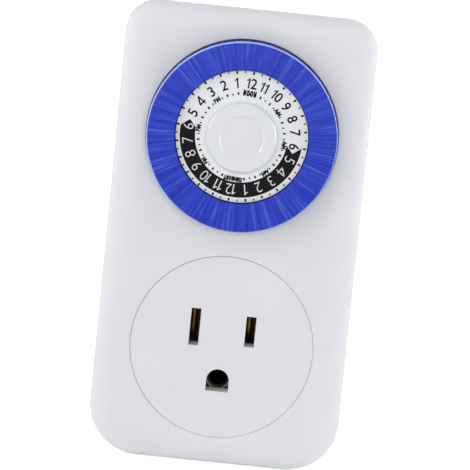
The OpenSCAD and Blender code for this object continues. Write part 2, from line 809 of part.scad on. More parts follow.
module follower_lever() {
  arm_low_z = 21.4;
  arm_t = 1.7;
  tip_top_z = foot_z - 0.1;
  nose_y = pivot_y - 6.5;
  nose_r = 0.6;
  nose_front_z = leaf_z - 0.7;
  color([0.95, 0.95, 0.93]) upright() translate([tip_xy[0] - lever_w / 2, 0, 0]) difference() {
    union() {
      translate([0, pivot_y, pivot_z]) rotate([0, 90, 0]) cylinder(r = 1.8, h = lever_w);
      translate([0, pivot_y, arm_low_z]) cube([lever_w, tip_xy[1] - pivot_y + 1.1, arm_t]);
      translate([0, tip_xy[1] - 1.1, arm_low_z]) cube([lever_w, 2.2, tip_top_z - arm_low_z]);
      translate([0, nose_y, arm_low_z]) cube([lever_w, pivot_y - nose_y, arm_t]);
      translate([0, nose_y, nose_front_z - nose_r]) rotate([0, 90, 0]) cylinder(r = nose_r, h = lever_w);
    }
    translate([-cut, pivot_y, pivot_z]) rotate([0, 90, 0]) cylinder(r = pivot_r + pivot_fit, h = lever_w + 2 * cut);
  }
}

module follower_pin() {
  start = ear_x[0] - ear_t / 2 - 0.3;
  end = ear_x[1] + ear_t / 2 + 0.3;
  color([0.62, 0.62, 0.64]) upright() translate([start, pivot_y, pivot_z]) rotate([0, 90, 0])
    cylinder(r = pivot_r, h = end - start);
}

// Three turns round the pivot pin, one leg on the plate and one on the lever
module follower_spring() {
  wire_r = 0.2;
  turn_r = 1.2;
  start = tip_xy[0] + lever_w / 2 + 0.35;
  turn_step = 0.36;
  color([0.70, 0.71, 0.73]) upright() translate([start, pivot_y, pivot_z]) union() {
    rotate([0, 90, 0]) rotate_extrude() union() {
      for (i = [0:2]) translate([turn_r, i * turn_step]) circle(r = wire_r);
    }
    translate([-wire_r / 2, -0.2, turn_r - wire_r / 2]) cube([wire_r, 4.2, wire_r]);
    translate([2 * turn_step - wire_r / 2, -0.2, -turn_r - wire_r / 2]) cube([wire_r, 3, wire_r]);
  }
}

// A domed silver contact, its dome towards +z
module contact_point(z, t) {
  intersection() {
    translate([tip_xy[0], point_y, z]) cylinder(r = point_r, h = t);
    translate([tip_xy[0], point_y, z + t - point_dome]) sphere(r = point_dome);
  }
}

module moving_contact() {
  leaf_w = 3.4;
  color([0.84, 0.60, 0.32]) upright() union() {
    translate([tip_xy[0] - leaf_w / 2, leaf_root_y, leaf_z]) cube([leaf_w, 10.6, leaf_t]);
    contact_point(leaf_z + leaf_t - 0.05, 0.8);
  }
}

// From the line blade out to the side, forward past the leaf, and back in over its point
module fixed_contact() {
  side_x = 20.6;
  point_tip_z = 26.54;
  flag_z = 27.3;
  color([0.80, 0.62, 0.30]) upright() union() {
    translate([blade_spacing / 2 - 1, -3, root_top_z]) cube([side_x + strip_t - blade_spacing / 2 + 1, 6, strip_t]);
    translate([side_x, -3, root_top_z]) cube([strip_t, 6, flag_z + strip_t - root_top_z]);
    translate([side_x, -3, 22]) cube([strip_t, point_y + 5, flag_z + strip_t - 22]);
    translate([tip_xy[0] - 2, point_y - 2, flag_z]) cube([side_x + strip_t - tip_xy[0] + 2, 4, strip_t]);
    translate([0, 0, 2 * point_tip_z + 0.8]) mirror([0, 0, 1]) contact_point(point_tip_z, 0.8);
  }
}

front_housing();
rear_housing();
housing_screws();
outlet_face();
neutral_blade();
line_blade();
ground_pin();
neutral_contact();
line_contact();
ground_contact();
ground_strap();
motor_can();
stator_cover();
coil_bobbin();
coil_winding();
coil_leads();
rotor_magnet();
rotor_pinion();
first_gear();
second_gear();
third_gear();
fourth_gear();
fifth_gear();
gear_arbors();
drive_wheel();
clutch_spring();
movement_plate();
movement_screws();
pin_carrier();
number_disc();
hub_cap();
follower_lever();
follower_pin();
follower_spring();
moving_contact();
fixed_contact();
for (h = [0:hours - 1]) hour_pins(h);
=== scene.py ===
import json
import math

import bmesh
import bpy
from mathutils import Matrix, Vector


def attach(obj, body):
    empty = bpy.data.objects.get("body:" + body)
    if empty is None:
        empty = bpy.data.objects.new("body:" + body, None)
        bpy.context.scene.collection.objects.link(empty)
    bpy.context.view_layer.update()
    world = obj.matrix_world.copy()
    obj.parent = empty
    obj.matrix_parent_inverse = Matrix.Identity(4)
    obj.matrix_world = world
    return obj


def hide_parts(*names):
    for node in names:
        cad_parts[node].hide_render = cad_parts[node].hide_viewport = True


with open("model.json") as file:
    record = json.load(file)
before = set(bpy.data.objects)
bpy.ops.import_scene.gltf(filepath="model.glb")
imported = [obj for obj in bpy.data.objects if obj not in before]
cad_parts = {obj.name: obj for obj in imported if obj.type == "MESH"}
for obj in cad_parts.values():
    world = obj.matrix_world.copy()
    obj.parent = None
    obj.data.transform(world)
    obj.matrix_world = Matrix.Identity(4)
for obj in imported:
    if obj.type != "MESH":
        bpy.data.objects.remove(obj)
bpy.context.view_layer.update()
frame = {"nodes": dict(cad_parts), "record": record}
print("frame loaded:", len(frame["nodes"]), "solids")

scene = bpy.context.scene
mm = 0.001
tau = 2 * math.pi
quarter = math.pi / 2
solidMerge = 2e-6     # metres within which corners of a CAD solid are one
meshMerge = 1e-7      # the same for meshes made here
printMerge = 1e-8     # and for the print
cutPast = 0.5         # how far in mm a cutter runs past the face it opens


def stand(x, y, z):
    # plan measures in mm (across, up the wall, out from the wall) to a place in the scene
    return Vector((x, -z, y)) * mm


def levelRing(outline, z):
    return [stand(x, y, z) for x, y in outline]


# plan drawing to scene axes, for whole meshes drawn in mm
uprightMatrix = Matrix(((mm, 0, 0, 0), (0, 0, -mm, 0), (0, mm, 0, 0), (0, 0, 0, 1)))


# nodes and materials

def linearColour(hexText):
    parts = [int(hexText[i:i + 2], 16) / 255 for i in (1, 3, 5)]
    return tuple(c / 12.92 if c <= 0.04045 else ((c + 0.055) / 1.055) ** 2.4 for c in parts) + (1.0,)


def joinNodes(tree, node, links):
    # a link comes from a socket, or from a node for its first output
    for name, source in links.items():
        tree.links.new(getattr(source, "outputs", [source])[0], node.inputs[name])


def addNode(tree, kind, values=None, links=None, **settings):
    node = tree.nodes.new(kind)
    for name, value in settings.items():
        setattr(node, name, value)
    for name, value in (values or {}).items():
        node.inputs[name].default_value = value
    joinNodes(tree, node, links or {})
    return node


def startMaterial(name, colour, roughness, ior=None, metallic=0.0):
    material = bpy.data.materials.new(name)
    material.use_nodes = True
    tree = material.node_tree
    shader = tree.nodes["Principled BSDF"]
    shader.inputs["Base Color"].default_value = linearColour(colour)
    shader.inputs["Roughness"].default_value = roughness
    shader.inputs["Metallic"].default_value = metallic
    if ior:
        shader.inputs["IOR"].default_value = ior
    return material, tree, shader, addNode(tree, "ShaderNodeTexCoord").outputs["Object"]


noiseSpan = {"From Min": 0.3, "From Max": 0.7}     # nearly all of a noise lies between these
plasticSkin = {"smoother": 0.04, "rougher": 0.05, "strength": 0.6}
metalSkin = {"smoother": 0.07, "rougher": 0.08, "strength": 0.6}


def clouded(tree, shader, pattern, dark, light):
    # spreads a pattern over two close colours
    share = addNode(tree, "ShaderNodeMapRange", noiseSpan, {"Value": pattern})
    colour = addNode(tree, "ShaderNodeMix", {6: linearColour(dark), 7: linearColour(light)}, {0: share},
                     data_type="RGBA")
    joinNodes(tree, shader, {"Base Color": colour.outputs[2]})


def grained(tree, shader, pattern, roughness, bumpMm, smoother, rougher, strength):
    # one pattern drives both the roughness and the relief
    span = {**noiseSpan, "To Min": roughness - smoother, "To Max": roughness + rougher}
    gloss = addNode(tree, "ShaderNodeMapRange", span, {"Value": pattern})
    relief = {"Strength": strength, "Distance": bumpMm * mm}
    bump = addNode(tree, "ShaderNodeBump", relief, {"Height": pattern})
    joinNodes(tree, shader, {"Roughness": gloss, "Normal": bump})


def mouldedPlastic(name, dark, light, roughness, grainMm, bumpMm, ior, cloudMm=12.0):
    # grain of the tool in bump and roughness, slow clouds in the colour
    material, tree, shader, place = startMaterial(name, light, roughness, ior)
    cloud, grain = [
        addNode(tree, "ShaderNodeTexNoise", {"Scale": 1 / (sizeMm * mm), "Detail": 2.0}, {"Vector": place})
        for sizeMm in (cloudMm, grainMm)]
    clouded(tree, shader, cloud, dark, light)
    grained(tree, shader, grain, roughness, bumpMm, **plasticSkin)
    return material


def sheetMetal(name, dark, light, roughness, lineMm, along, bumpMm=0.003, cloudMm=4.0):
    # along is how many times longer the rolling or drawing lines are than they are wide, on each axis
    material, tree, shader, place = startMaterial(name, light, roughness, metallic=1.0)
    slow, fine = 1 / (cloudMm * mm), [1 / (lineMm * mm * a) for a in along]
    cloud = addNode(tree, "ShaderNodeTexNoise", {"Scale": slow, "Detail": 2.0}, {"Vector": place})
    drawn = addNode(tree, "ShaderNodeMapping", {"Scale": fine}, {"Vector": place})
    lines = addNode(tree, "ShaderNodeTexNoise", {"Scale": 1.0, "Detail": 3.0}, {"Vector": drawn})
    clouded(tree, shader, cloud, dark, light)
    grained(tree, shader, lines, roughness, bumpMm, **metalSkin)
    return material


def screenInk(name, dark, light, roughness=0.6, ior=1.48, meshMm=0.3, shine=0.12):
    # a dense matt film, a shade uneven where the mesh of the screen let less through
    material, tree, shader, place = startMaterial(name, dark, roughness, ior)
    film = addNode(tree, "ShaderNodeTexNoise", {"Scale": 1 / (meshMm * mm), "Detail": 3.0}, {"Vector": place})
    clouded(tree, shader, film, dark, light)
    shader.inputs["Specular IOR Level"].default_value = shine
    return material


# the dial's middle up the wall, and the face of its number disc out from the wall
dialPlace = {"up": 44.6, "face": 39.0}

pinTones = {
    # sRGB tones from a line's valley to its crest, with where each sits on the scale of the noise
    "tones": [(0.44, "#0A20A6"), (0.66, "#1132BD"), (0.8, "#2C49C8"), (0.97, "#727FD6")],
    # how many to a turn, how long in mm and how fine, for the lines and for the bands under them
    "lines": (370, 14.0, 2.0), "bands": (70, 22.0, 1.0), "bandShare": 0.35,
    # a pale rim painted on as a highlight, set a little low and right, and sides painted dark as shade below
    # the rounded edge
    "rimHighlight": "#B4C6FF", "rimAcross": 0.06, "rimUp": -0.13, "rimFade": (21.3, 21.5),
    "flankShade": "#0E1968", "sideFade": (-40.08, -39.96), "frontShine": 0.25, "sideShine": 0.03,
    "bumpMm": 0.006, "skin": {"smoother": 0.06, "rougher": 0.1, "strength": 0.5},
}


def streakedBlue(name, roughness, ior=1.53):
    # every pin head is drawn out into fine lines that run away from the dial's middle
    p = pinTones
    material, tree, shader, place = startMaterial(name, p["tones"][1][1], roughness, ior)
    centred = addNode(tree, "ShaderNodeVectorMath", {1: stand(0, dialPlace["up"], 0)}, {0: place},
                      operation="SUBTRACT")
    axes = addNode(tree, "ShaderNodeSeparateXYZ", {}, {0: centred}).outputs
    turn = addNode(tree, "ShaderNodeMath", {}, {0: axes["Z"], 1: axes["X"]}, operation="ARCTAN2")
    flat = addNode(tree, "ShaderNodeCombineXYZ", {}, {"X": axes["X"], "Y": axes["Z"]})
    reach = addNode(tree, "ShaderNodeVectorMath", {}, {0: flat}, operation="LENGTH")
    polar = addNode(tree, "ShaderNodeCombineXYZ", {}, {"X": turn, "Y": reach.outputs["Value"]})
    streaks = []
    # the real lines are near 0.1 mm apart at the rim, drawn at 0.37 mm so that they show
    for perTurn, alongMm, detail in (p["lines"], p["bands"]):
        stretched = addNode(tree, "ShaderNodeMapping", {"Scale": (perTurn / tau, 1 / (alongMm * mm), 1)},
                            {"Vector": polar})
        streaks.append(addNode(tree, "ShaderNodeTexNoise", {"Scale": 1.0, "Detail": detail, "Roughness": 0.6},
                               {"Vector": stretched}))
    tone = addNode(tree, "ShaderNodeMath", {1: p["bandShare"]}, {0: streaks[1], 2: streaks[0]},
                   operation="MULTIPLY_ADD")
    ramp = addNode(tree, "ShaderNodeValToRGB", {}, {0: tone})
    stops = ramp.color_ramp.elements
    stops[0].position, stops[1].position = p["tones"][0][0], p["tones"][-1][0]
    for position, colour in p["tones"][1:-1]:
        stops.new(position)
    # a new stop moves the others, so the colours come last
    for stop, (position, colour) in zip(stops, p["tones"]):
        stop.color = linearColour(colour)
    # the rounded outer edge of a head is painted pale as a highlight
    shifted = addNode(tree, "ShaderNodeVectorMath", {1: (p["rimAcross"] * mm, p["rimUp"] * mm, 0)},
                      {0: flat}, operation="SUBTRACT")
    rimReach = addNode(tree, "ShaderNodeVectorMath", {}, {0: shifted}, operation="LENGTH")
    # its sides are painted dark as shade; the scene's Y runs into the wall, so a larger Y is deeper
    onRimHighlight, onSide = [
        addNode(tree, "ShaderNodeMapRange", {"From Min": low * mm, "From Max": high * mm}, {"Value": value},
                interpolation_type="SMOOTHSTEP")
        for (low, high), value in ((p["rimFade"], rimReach.outputs["Value"]), (p["sideFade"], axes["Y"]))]
    rimHighlighted = addNode(tree, "ShaderNodeMix", {7: linearColour(p["rimHighlight"])}, {0: onRimHighlight, 6: ramp}, data_type="RGBA")
    shadeFlanked = addNode(tree, "ShaderNodeMix", {7: linearColour(p["flankShade"])}, {0: onSide, 6: rimHighlighted.outputs[2]},
                      data_type="RGBA")
    shine = addNode(tree, "ShaderNodeMapRange", {"To Min": p["frontShine"], "To Max": p["sideShine"]},
                    {"Value": onSide})
    joinNodes(tree, shader, {"Base Color": shadeFlanked.outputs[2], "Specular IOR Level": shine})
    grained(tree, shader, streaks[0], roughness, p["bumpMm"], **p["skin"])
    return material


def woundWire(name, dark, light, wireMm, roughness=0.28, ior=1.55, bumpMm=0.08):
    # turns of enamelled wire side by side: the coil's axis points out from the wall
    material, tree, shader, place = startMaterial(name, light, roughness, ior)
    turns = addNode(tree, "ShaderNodeTexWave", {
        "Scale": 1 / (wireMm * mm) / tau, "Distortion": 0.6, "Detail": 1.0, "Detail Scale": 0.4},
        {"Vector": place}, bands_direction="Y").outputs["Fac"]
    colour = addNode(tree, "ShaderNodeMix", {6: linearColour(dark), 7: linearColour(light)}, {0: turns},
                     data_type="RGBA")
    bump = addNode(tree, "ShaderNodeBump", {"Strength": 0.8, "Distance": bumpMm * mm}, {"Height": turns})
    joinNodes(tree, shader, {"Base Color": colour.outputs[2], "Normal": bump})
    return material


# plastics: darker and lighter tone, roughness, grain and relief in mm, IOR, and the size of the clouds in mm
# metals: darker and lighter tone, roughness, width of the lines in mm, how drawn out they are on each axis
slotMaterials = {
    # moulded ABS from a spark-eroded tool: an even satin skin; its grain of 0.05 mm is drawn at 0.22 mm
    "white_abs": mouldedPlastic("moulded white ABS", "#E2E4E9", "#E6E7EB", 0.42, 0.22, 0.003, 1.53),
    # moulded styrene ready for print: warmer, duller and a little toothed next to the case
    "printed_disc": mouldedPlastic("moulded white styrene", "#EFF1F3", "#F2F4F6", 0.55, 0.3, 0.003, 1.59),
    # moulded blue ABS: semi-gloss, and its fine outward lines break every highlight into threads
    "blue_abs": streakedBlue("moulded blue ABS", 0.4),
    # moulded navy ABS: deep and matt, so the gaps between the pins read as dark
    "navy_abs": mouldedPlastic("moulded navy ABS", "#161F55", "#1C2768", 0.5, 0.3, 0.006, 1.53),
    # moulded acetal gears: waxy ivory, a low soft shine
    "acetal": mouldedPlastic("moulded acetal", "#E6E1D2", "#EFEBDD", 0.42, 0.25, 0.004, 1.48),
    # moulded natural nylon: cream, and duller than acetal
    "natural_nylon": mouldedPlastic("moulded natural nylon", "#DDD8C8", "#E8E4D6", 0.5, 0.25, 0.005, 1.53),
    # sintered ferrite: near black and dead, with the grain of pressed powder
    "ferrite": mouldedPlastic("sintered ferrite", "#29292D", "#3A3A3F", 0.7, 0.35, 0.012, 2.3, 3.0),
    # extruded PVC sleeve on the coil's leads: strong red, satin
    "red_wire": mouldedPlastic("extruded red PVC", "#9C1A16", "#B8221C", 0.5, 0.5, 0.006, 1.53, 4.0),
    # enamelled copper wire in close turns: red-brown, varnished lines; wire of 0.1 mm is drawn at 0.35 mm
    "enamelled_copper": woundWire("enamelled copper winding", "#6E2F14", "#B5602E", 0.35),
    # rolled and stamped brass: yellow, with rolling lines that stretch its reflections
    "brass": sheetMetal("stamped brass", "#B5934A", "#CBAC66", 0.28, 0.12, (1, 10, 1)),
    # rolled phosphor bronze: redder than brass, springy and evenly bright
    "bronze_leaf": sheetMetal("rolled phosphor bronze", "#B57B45", "#C98F58", 0.3, 0.12, (1, 1, 10)),
    # zinc plated steel: bluish grey with the soft mottle of the plating
    "zinc_steel": sheetMetal("zinc plated steel", "#AEB2B8", "#C6C9CE", 0.34, 0.4, (1, 1, 1)),
    # ground steel wire: close turned rings and a crisp shine
    "bright_steel": sheetMetal("ground steel wire", "#8E9094", "#A9ABAF", 0.24, 0.08, (6, 1, 6)),
    # nickel plated steel sheet: brighter and smoother, with only a trace of its rolling lines
    "plated_steel": sheetMetal("nickel plated steel sheet", "#9EA1A6", "#B7BABF", 0.3, 0.15, (8, 1, 1)),
    # drawn spring steel: dark grey with lines along the strip
    "spring_steel": sheetMetal("drawn spring steel", "#8C8F94", "#A3A6AB", 0.3, 0.08, (8, 8, 1)),
}
whiteAbs, blueAbs = slotMaterials["white_abs"], slotMaterials["blue_abs"]
# the same white ABS from a polished tool: its rounded edges catch a fine bright line
polishedAbs = mouldedPlastic("polished white ABS", "#E2E4E8", "#E5E7EA", 0.2, 0.4, 0.0006, 1.53)
# screen printed ink: dense and dead matt, so it never flashes white like the plastic round it
blackInk = screenInk("black screen ink", "#06060A", "#0E0E14")
whiteInk = screenInk("white screen ink", "#E2E3E0", "#ECEDE9")
# stamped brass in a darker brown, dull copy, painted dark as shade deep in the slots, so only a rounded nose
# still shows gold
shadeDarkBrass = sheetMetal("stamped brass darkened as shade", "#5E431E", "#8A6832", 0.4, 0.15, (1, 1, 10))
# bronze in a red-brown, almost matt copy, painted dark as shade, so a hole lined with it looks deep
shadeDarkBronze = sheetMetal("bronze darkened as shade", "#2A1512", "#3D221B", 0.55, 0.2, (1, 10, 1))
# tin dipped brass: a pale warm rim, soft edged and slightly dull
tinnedBrass = sheetMetal("tinned brass", "#BDB09A", "#D6CBB8", 0.42, 0.2, (1, 1, 1))
print("materials made:", len(bpy.data.materials))

slotOf = {part["node"]: part["material_slot"] for part in frame["record"]["subparts"]}
for node, slotName in slotOf.items():
    meshData = frame["nodes"][node].data
    meshData.materials.clear()
    meshData.materials.append(slotMaterials[slotName])


# mesh helpers

def newObject(name, data):
    made = bpy.data.objects.new(name, data)
    scene.collection.objects.link(made)
    return made


def meshObject(name, bm, material):
    data = bpy.data.meshes.new(name)
    bm.to_mesh(data)
    bm.free()
    data.materials.append(material)
    return newObject(name, data)


def bridge(bm, loops):
    # a band of faces between each loop of corners and the next
    n = len(loops[0])
    for low, high in zip(loops, loops[1:]):
        for i in range(n):
            bm.faces.new((low[i], low[(i + 1) % n], high[(i + 1) % n], high[i]))


def loft(rings):
    # a closed skin over rings of points that all have the same count
    bm = bmesh.new()
    loops = [[bm.verts.new(p) for p in ring] for ring in rings]
    bridge(bm, loops)
    bm.faces.new(list(reversed(loops[0])))
    bm.faces.new(loops[-1])
    bmesh.ops.recalc_face_normals(bm, faces=bm.faces)
    return bm


def roundOff(steps):
    # a quarter round from its side to its front: how far still below the front, and how far in
    angles = [quarter * k / steps for k in range(steps + 1)]
    return [(1 - math.sin(a), 1 - math.cos(a)) for a in angles]


def circleOutline(cx, cy, radius, steps):
    # outlines are functions: they give their points when told how far to grow
    return lambda grow: [(cx + (radius + grow) * math.cos(tau * k / steps),
                          cy + (radius + grow) * math.sin(tau * k / steps)) for k in range(steps)]


def lathe(profile, centre, steps):
    # a closed solid of revolution round an axis that points out from the wall; profile is [radius, height]
    return loft([levelRing(circleOutline(*centre, r, steps)(0), z) for r, z in profile])


def workedOut(piece):
    # the plain mesh that an object's modifiers or lettering come to
    bpy.context.view_layer.update()
    return bpy.data.meshes.new_from_object(piece.evaluated_get(bpy.context.evaluated_depsgraph_get()))


def applyModifiers(piece):
    old, piece.data = piece.data, workedOut(piece)
    piece.modifiers.clear()
    bpy.data.meshes.remove(old)


def cutAway(piece, cutters, operation="DIFFERENCE"):
    for cutter in cutters:
        boolean = piece.modifiers.new("cut", "BOOLEAN")
        boolean.operation = operation
        boolean.solver = "EXACT"
        boolean.object = cutter
    applyModifiers(piece)
    for cutter in cutters:
        data = cutter.data
        bpy.data.objects.remove(cutter)
        bpy.data.meshes.remove(data)


def merged(distance, *meshes):
    # some meshes in one, their corners joined where they meet
    bm = bmesh.new()
    for data in meshes:
        bm.from_mesh(data)
    bmesh.ops.remove_doubles(bm, verts=bm.verts, dist=distance)
    return bm


def softenShading(bm, degrees):
    # smooth faces, with edges sharper than the angle kept crisp
    for edge in bm.edges:
        edge.smooth = len(edge.link_faces) == 2 and edge.calc_face_angle(0) < math.radians(degrees)
    for face in bm.faces:
        face.smooth = True


def smoothEdges(piece, degrees=35):
    bm = merged(meshMerge, piece.data)
    softenShading(bm, degrees)
    bm.to_mesh(piece.data)
    bm.free()
    weight = piece.modifiers.new("weight", "WEIGHTED_NORMAL")
    weight.keep_sharp = True
    weight.weight = 80
    applyModifiers(piece)


def finishPiece(piece, body, slot, *nodes):
    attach(piece, body)
    if nodes:
        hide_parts(*nodes)


housing = {
    "width": 57.4, "top": 73.3, "bottom": -31.3, "depth": 36.0, "widest": 33.0, "joint": 14.0, "wall": 2.2,
    "cornerTop": 7.4, "cornerBottom": 11.7, "cornerLeast": 0.8, "cornerSteps": 26,
    "sideTaper": 2.5, "endTaper": 4.2, "innerTop": 5.0, "innerBottom": 8.0, "wallOver": 0.1, "frontMore": 1.0,
    "softSide": 8.0, "softEnd": 5.0, "softDepth": 3.0, "softSteps": 22,
    # the seam between the shells: how far the rear one stands back, its broken edge, and the lip inside
    "reveal": 0.3, "seamEdge": 0.15, "rearEdge": 0.6, "lip": 1.2, "lipPlay": 0.1,
    "dialHole": 21.88, "holeEdge": 0.1, "holeFrom": 19.0, "roundSteps": 160,
    "screws": [(-20.2, 64.4), (20.2, 64.4), (-20.2, -22.6), (20.2, -22.6)],
    "bossRadius": 3.0, "bossRoot": 0.4, "bossPlay": 0.15, "screwHole": 1.25, "screwPlay": 0.1, "screwTip": 25,
    "headHole": 2.55, "headDepth": 4.0,
    # holes for the wall plug: the blades' [across, height], their width, and the ground pin's radius
    "bladeHoles": [(-6.35, 8.04), (6.35, 6.45)], "bladeWidth": 1.6, "pinHole": 2.78, "plugDepth": 3,
}


def housingRing(z, sideInset, endInset, topRadius=None, bottomRadius=None):
    # the housing's outline with its own corners, or with the radii given
    h = housing
    tighter = (sideInset + endInset) / 2
    topR = topRadius or max(h["cornerTop"] - tighter, h["cornerLeast"])
    bottomR = bottomRadius or max(h["cornerBottom"] - tighter, h["cornerLeast"])
    x = h["width"] / 2 - sideInset
    top, bottom, n = h["top"] - endInset, h["bottom"] + endInset, h["cornerSteps"]
    corners = [(x - topR, top - topR, topR), (-x + topR, top - topR, topR),
               (-x + bottomR, bottom + bottomR, bottomR), (x - bottomR, bottom + bottomR, bottomR)]
    # from the upper right against the clock, a quarter turn each
    places = [(quarter * (turn + k / n), corner) for turn, corner in enumerate(corners) for k in range(n + 1)]
    return levelRing([(cx + r * math.cos(a), cy + r * math.sin(a)) for a, (cx, cy, r) in places], z)


def taperedRing(z, extra=0.0):
    # the outside narrows from its widest place towards the wall
    share = (housing["widest"] - z) / housing["widest"]
    return housingRing(z, housing["sideTaper"] * share + extra, housing["endTaper"] * share + extra)


def cavity(lowZ, highZ, grow):
    h = housing
    inset = h["wall"] - h["wallOver"] - grow
    shape = (h["sideTaper"] + inset, h["endTaper"] + inset, h["innerTop"] + grow, h["innerBottom"] + grow)
    return meshObject("cavity", loft([housingRing(z, *shape) for z in (lowZ, highZ)]), whiteAbs)


def flaredCutter(outline, lowZ, frontZ, edge, inner=None):
    # a hole's cutter whose mouth opens in a small round, inner is its outline at the low end
    rings = [levelRing((inner or outline)(0), lowZ)]
    rings += [levelRing(outline(edge * out), frontZ - edge * below) for below, out in roundOff(4)]
    rings.append(levelRing(outline(edge), frontZ + cutPast))
    return meshObject("cutter", loft(rings), whiteAbs)


def boxOutline(cx, cy, w, h):
    return lambda grow: [(cx + sx * (w / 2 + grow), cy + sy * (h / 2 + grow))
                         for sx, sy in ((1, 1), (-1, 1), (-1, -1), (1, -1))]


def straightCutter(outline, lowZ, highZ):
    return meshObject("cutter", loft([levelRing(outline(0), z) for z in (lowZ, highZ)]), whiteAbs)


def screwCutters(radius, lowZ, highZ, steps=48):
    return [straightCutter(circleOutline(x, y, radius, steps), lowZ, highZ) for x, y in housing["screws"]]


def buildFrontHousing():
    h, i = housing, insert
    rings = [taperedRing(h["joint"])]
    for inwards, below in reversed(roundOff(h["softSteps"])):
        rings.append(housingRing(h["depth"] - h["softDepth"] * below, h["softSide"] * inwards,
                                 h["softEnd"] * inwards))
    shell = meshObject("frontHousing", loft(rings), whiteAbs)
    seam, ceiling = h["joint"], h["depth"] - h["wall"]
    cutAway(shell, [cavity(seam - cutPast, ceiling, h["frontMore"])])
    cutAway(shell, screwCutters(h["bossRadius"], seam, ceiling + h["bossRoot"]), "UNION")
    dialHole = circleOutline(0, dialPlace["up"], h["dialHole"], h["roundSteps"])
    insertHole = circleOutline(i["across"], i["up"], i["radius"] + i["gap"], h["roundSteps"])
    cutAway(shell, [flaredCutter(dialHole, h["holeFrom"], h["depth"], h["holeEdge"]),
                    flaredCutter(insertHole, h["holeFrom"], h["depth"], i["edge"]),
                    *screwCutters(h["screwHole"], seam - cutPast, h["screwTip"], steps=24)])
    smoothEdges(shell)
    finishPiece(shell, "housing", "white_abs", "front_housing")


def buildRearHousing():
    h = housing
    edge, seam, lipEnd = h["rearEdge"], h["joint"], h["joint"] + h["lip"]
    rings = [taperedRing(edge * up, h["reveal"] + edge * inwards) for up, inwards in reversed(roundOff(4))]
    rings.append(taperedRing(seam - h["seamEdge"], h["reveal"]))
    rings.append(taperedRing(seam, h["reveal"] + h["seamEdge"]))
    shell = meshObject("rearHousing", loft(rings), whiteAbs)
    cutAway(shell, [cavity(seam - cutPast, lipEnd, h["frontMore"] - h["lipPlay"])], "UNION")
    cutAway(shell, [cavity(h["wall"], lipEnd + cutPast, 0)])
    cutAway(shell, screwCutters(h["bossRadius"], h["wall"] - h["bossRoot"], seam), "UNION")
    plugHoles = [boxOutline(x, 0, h["bladeWidth"], height) for x, height in h["bladeHoles"]]
    plugHoles.append(circleOutline(0, -insert["groundDrop"], h["pinHole"], 48))
    screwHoles = zip(screwCutters(h["headHole"], -cutPast, h["headDepth"]),
                     screwCutters(h["screwHole"] + h["screwPlay"], -cutPast, seam + cutPast, steps=32),
                     screwCutters(h["bossRadius"] + h["bossPlay"], seam, lipEnd + cutPast))
    cutAway(shell, [cutter for three in screwHoles for cutter in three]
            + [straightCutter(outline, -cutPast, h["plugDepth"]) for outline in plugHoles])
    smoothEdges(shell)
    finishPiece(shell, "housing", "white_abs", "rear_housing")


insert = {
    "radius": 20.84, "across": 0.14, "up": -4.11, "gap": 0.08, "shift": 0.015, "edge": 0.06,
    "flange": 21.9, "back": 31.0, "seatGap": 0.05,
    "slotWidth": 2.24, "neutralHeight": 8.5, "lineHeight": 7.0, "spacing": 12.7,
    "groundWidth": 5.2, "groundFlat": 2.5, "groundDrop": 11.9, "slotEdge": 0.12, "slotDraft": 0.15,
}


def groundOutline(grow):
    w, flat, steps = insert["groundWidth"] / 2 + grow, insert["groundFlat"] + grow, 40
    cy = -insert["groundDrop"]
    points = [(w * math.cos(math.pi * k / steps), cy + w * math.sin(math.pi * k / steps))
              for k in range(steps + 1)]
    return points + [(-w, cy - flat), (w, cy - flat)]


def raisedFoot(outline):
    # the same outline with its lowest points brought up, for the narrow inner end of a drafted slot
    def drafted(grow):
        points = outline(grow)
        low = min(y for x, y in points)
        return [(x, y + insert["slotDraft"] if y < low + 1e-6 else y) for x, y in points]
    return drafted


def buildOutletFace():
    i = insert
    r, top, edge = i["radius"], housing["depth"], i["edge"]
    seat = top - housing["wall"] - i["seatGap"]
    profile = [(i["flange"], i["back"]), (i["flange"], seat), (r, seat)]
    profile += [(r - edge * inwards, top - edge * below) for below, inwards in roundOff(5)]
    # it sits a hair low and right in its hole, so the ring round it is wider at the upper left
    centre = (i["across"] + i["shift"], i["up"] - i["shift"])
    face = meshObject("outletFace", lathe(profile, centre, housing["roundSteps"]), whiteAbs)
    outlines = [boxOutline(-i["spacing"] / 2, 0, i["slotWidth"], i["neutralHeight"]),
                boxOutline(i["spacing"] / 2, 0, i["slotWidth"], i["lineHeight"]), groundOutline]
    cutAway(face, [flaredCutter(outline, i["back"] - 2 * cutPast, top, i["slotEdge"], raisedFoot(outline))
                   for outline in outlines])
    smoothEdges(face)
    finishPiece(face, "housing", "white_abs", "outlet_face")


# the plug's metal and the screws: name of the piece and how far its sharp edges are broken, in mm
broken = {"neutral_blade": ("neutralBlade", 0.12), "line_blade": ("lineBlade", 0.12),
          "ground_pin": ("groundPin", 0.15), "housing_screws": ("housingScrews", 0.12)}


def buildBroken(node):
    # a merged copy of a solid whose sharp edges are broken by a small round
    name, width = broken[node]
    bm = merged(solidMerge, frame["nodes"][node].data)
    bmesh.ops.dissolve_limit(bm, angle_limit=math.radians(1), verts=bm.verts, edges=bm.edges)
    piece = meshObject(name, bm, frame["nodes"][node].data.materials[0])
    bevel = piece.modifiers.new("round", "BEVEL")
    bevel.width = width * mm
    bevel.segments = 3
    bevel.limit_method = "ANGLE"
    bevel.angle_limit = math.radians(40)
    applyModifiers(piece)
    smoothEdges(piece)
    finishPiece(piece, "housing", slotOf[node], node)


